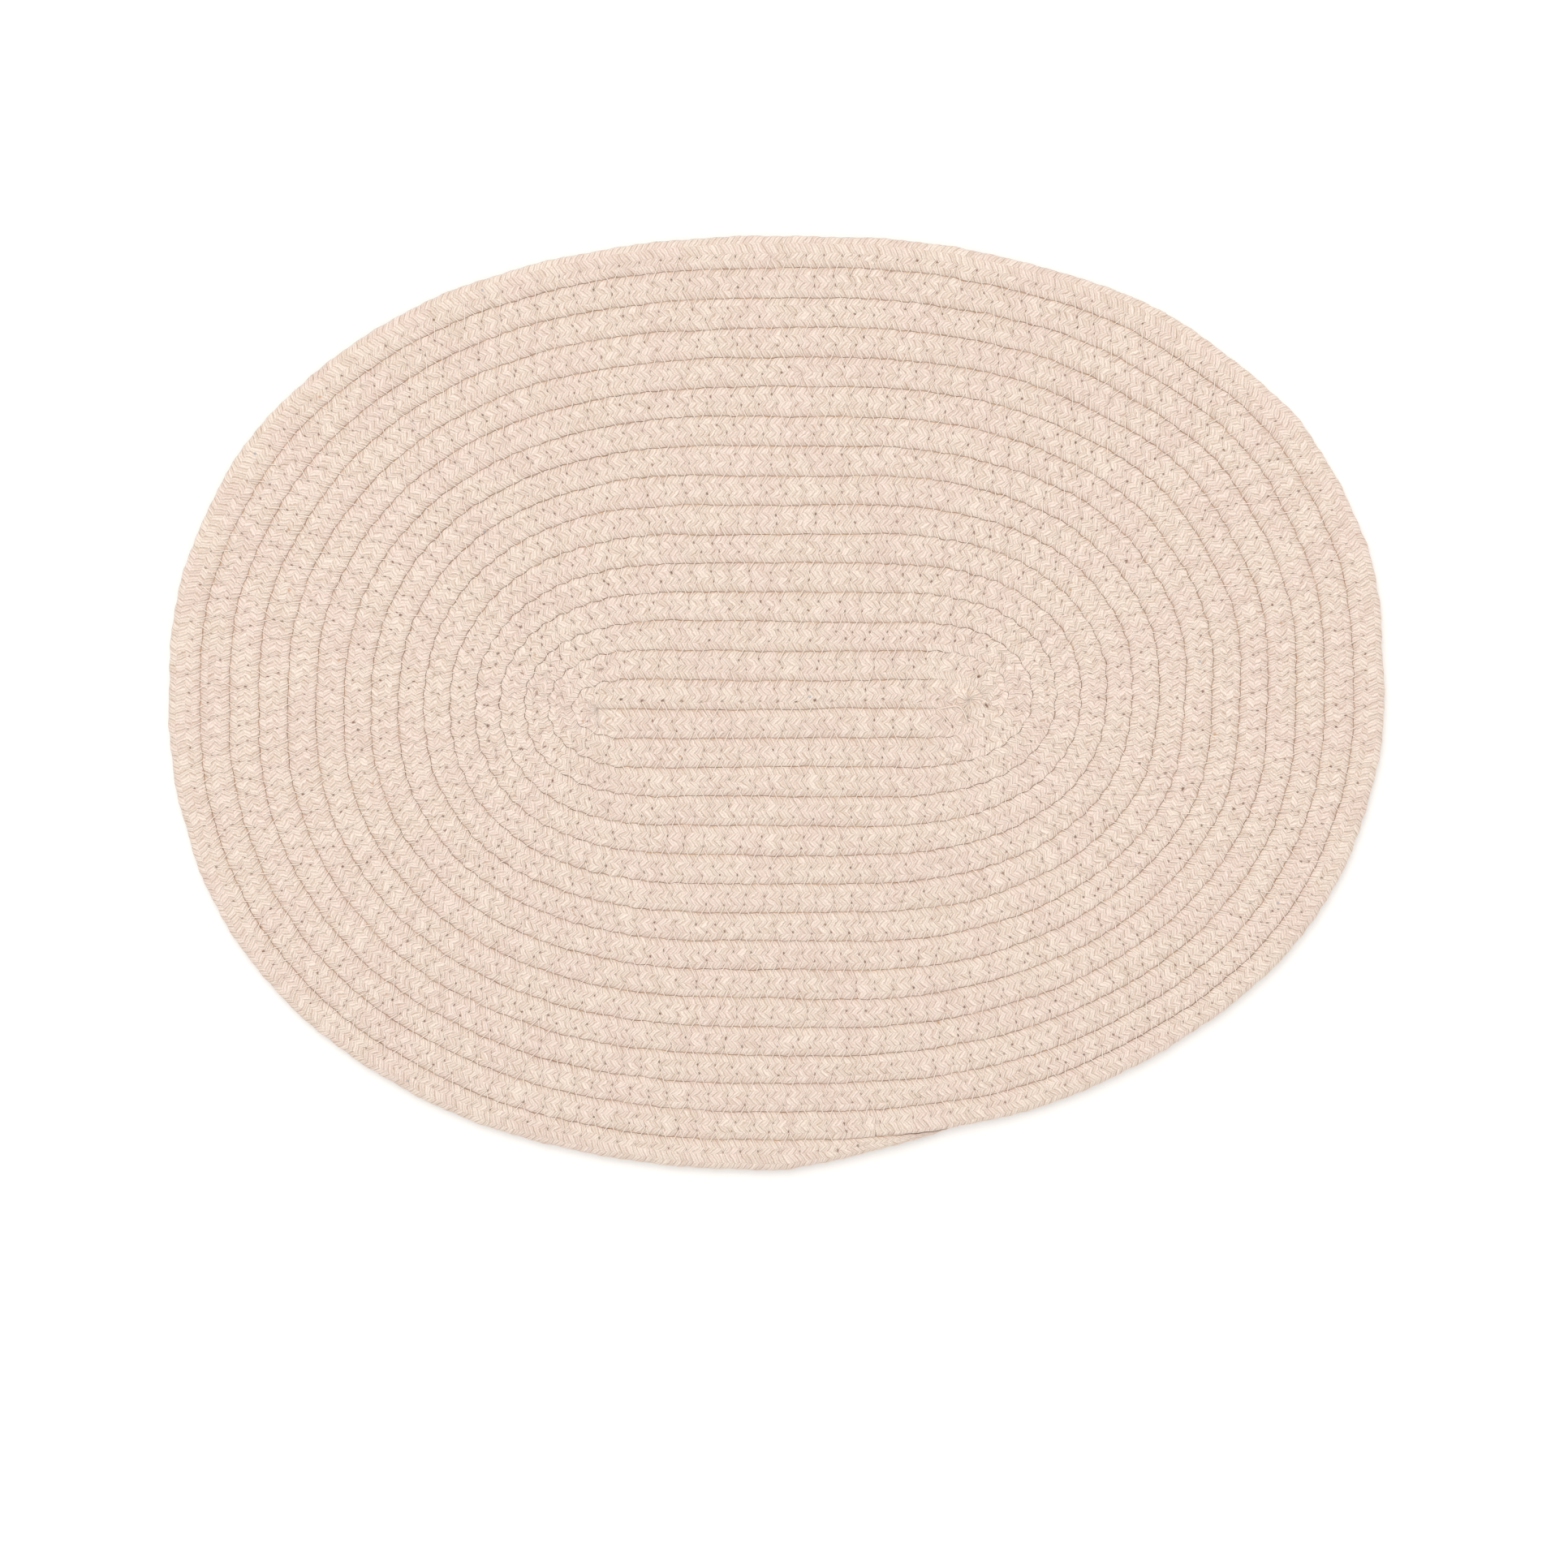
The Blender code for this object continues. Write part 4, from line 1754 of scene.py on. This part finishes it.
@dataclass
class Studio:
    """The floor, the lamps and the camera."""

    aim: tuple[float, float, float] = (0.00245, -0.0277, 0.008)
    distance: float = 1.3204
    tilt: float = 5.0  # degrees that the camera stands off the mat's normal, towards +Y
    lens: float = 81.8
    sensor: float = 36.0
    floor_size: float = 8.0
    floor_cuts: int = 8
    daylight: float = 0.90
    lamps: tuple[Lamp, ...] = (
        Lamp("key_lamp", 112.0, 62.0, 3.0, 1.8, 34.0, "#FFFDFA"),
        Lamp("fill_lamp", -40.0, 60.0, 3.0, 2.4, 7.5),
    )

    def build(self) -> None:
        """Sets everything up."""
        scene = bpy.context.scene
        self.floor()
        for lamp in self.lamps:
            lamp.build()
        world = bpy.data.worlds.new("studio_daylight")
        world.use_nodes = True
        background = world.node_tree.nodes["Background"]
        background.inputs["Color"].default_value = linear("#FFFFFF")
        background.inputs["Strength"].default_value = self.daylight
        scene.world = world
        scene.view_settings.view_transform = "Standard"
        data = bpy.data.cameras.new("camera")
        data.lens, data.sensor_width = self.lens, self.sensor
        camera = bpy.data.objects.new("camera", data)
        rise = math.radians(self.tilt)
        away = Vector((0.0, math.sin(rise), math.cos(rise)))
        camera.location = Vector(self.aim) + away * self.distance
        camera.rotation_euler = (-rise, 0.0, 0.0)
        scene.collection.objects.link(camera)
        scene.camera = camera

    def floor(self) -> None:
        """Lays the floor."""
        bm = bmesh.new()
        cuts = self.floor_cuts
        bmesh.ops.create_grid(bm, x_segments=cuts, y_segments=cuts, size=self.floor_size / 2)
        mesh = bpy.data.meshes.new("floor")
        bm.to_mesh(mesh)
        bm.free()
        mesh.materials.append(MattPaper().material())
        floor = bpy.data.objects.new("floor", mesh)
        bpy.context.scene.collection.objects.link(floor)


# ---- The mat ----


@dataclass
class CoiledMat:
    """The whole mat."""

    coil: Coil = field(default_factory=Coil)
    flat_size: tuple[float, float] = (0.449, 0.346)
    flat_area: float = 0.1225

    def build(self) -> list[bpy.types.Object]:
        """Makes and dresses every piece.

        Returns:
            The pieces, the core first.
        """
        rows = Rows(self.coil)
        LOG.info("cord %.3f m, sewn seam %.3f m", rows.length, rows.sewn_along[-1])
        core = dress(CordCore(rows).build(), CottonFilling().material())
        braid = UndyedCottonBraid().material()
        cord = [dress(piece, braid) for piece in BraidedCord(rows).build()]
        cord.append(dress(GatheredStart(rows).build(), braid))
        cotton = CottonSewingThread().material()
        upper, under = ZigzagThread(rows, Side.UPPER), ZigzagThread(rows, Side.UNDER, sides=3)
        sewing = [dress(thread.build(), cotton) for thread in (upper, under)]
        tails = [dress(tail.build(), cotton) for tail in self.tails()]
        others = [*cord, *sewing, *tails]
        return [core, *others]

    def tails(self) -> list[ThreadTail]:
        """The loose thread ends at the cord's start, by points in millimetres."""
        return [
            ThreadTail(name, points)
            for name, *points in (
                (
                    "thread_tail_long",
                    (58.6, -0.3, 7.6), (60.5, 0.4, 8.6), (66.2, 1.3, 8.9), (68.6, -0.5, 8.8),
                    (70.1, -3.8, 8.5),
                ),
                ("thread_tail_short", (59.0, 0.2, 7.8), (60.8, -1.6, 8.7), (63.8, -5.6, 8.5)),
                ("thread_tail_second", (59.6, 0.5, 7.8), (61.4, -1.2, 8.8), (64.6, -5.0, 8.4)),
                ("stray_thread", (81.0, 3.8, 8.0), (83.4, 1.0, 8.6), (86.3, -2.0, 8.0)),
            )
        ]


def main() -> None:
    """Builds the mat and the studio round it."""
    logging.basicConfig(level=logging.INFO, format="%(message)s")
    Studio().build()
    pieces = CoiledMat().build()
    faces = sum(len(p.vertices) - 2 for piece in pieces for p in piece.data.polygons)
    LOG.info("%d pieces, %d triangles", len(pieces), faces)


if __name__ == "__main__":
    main()
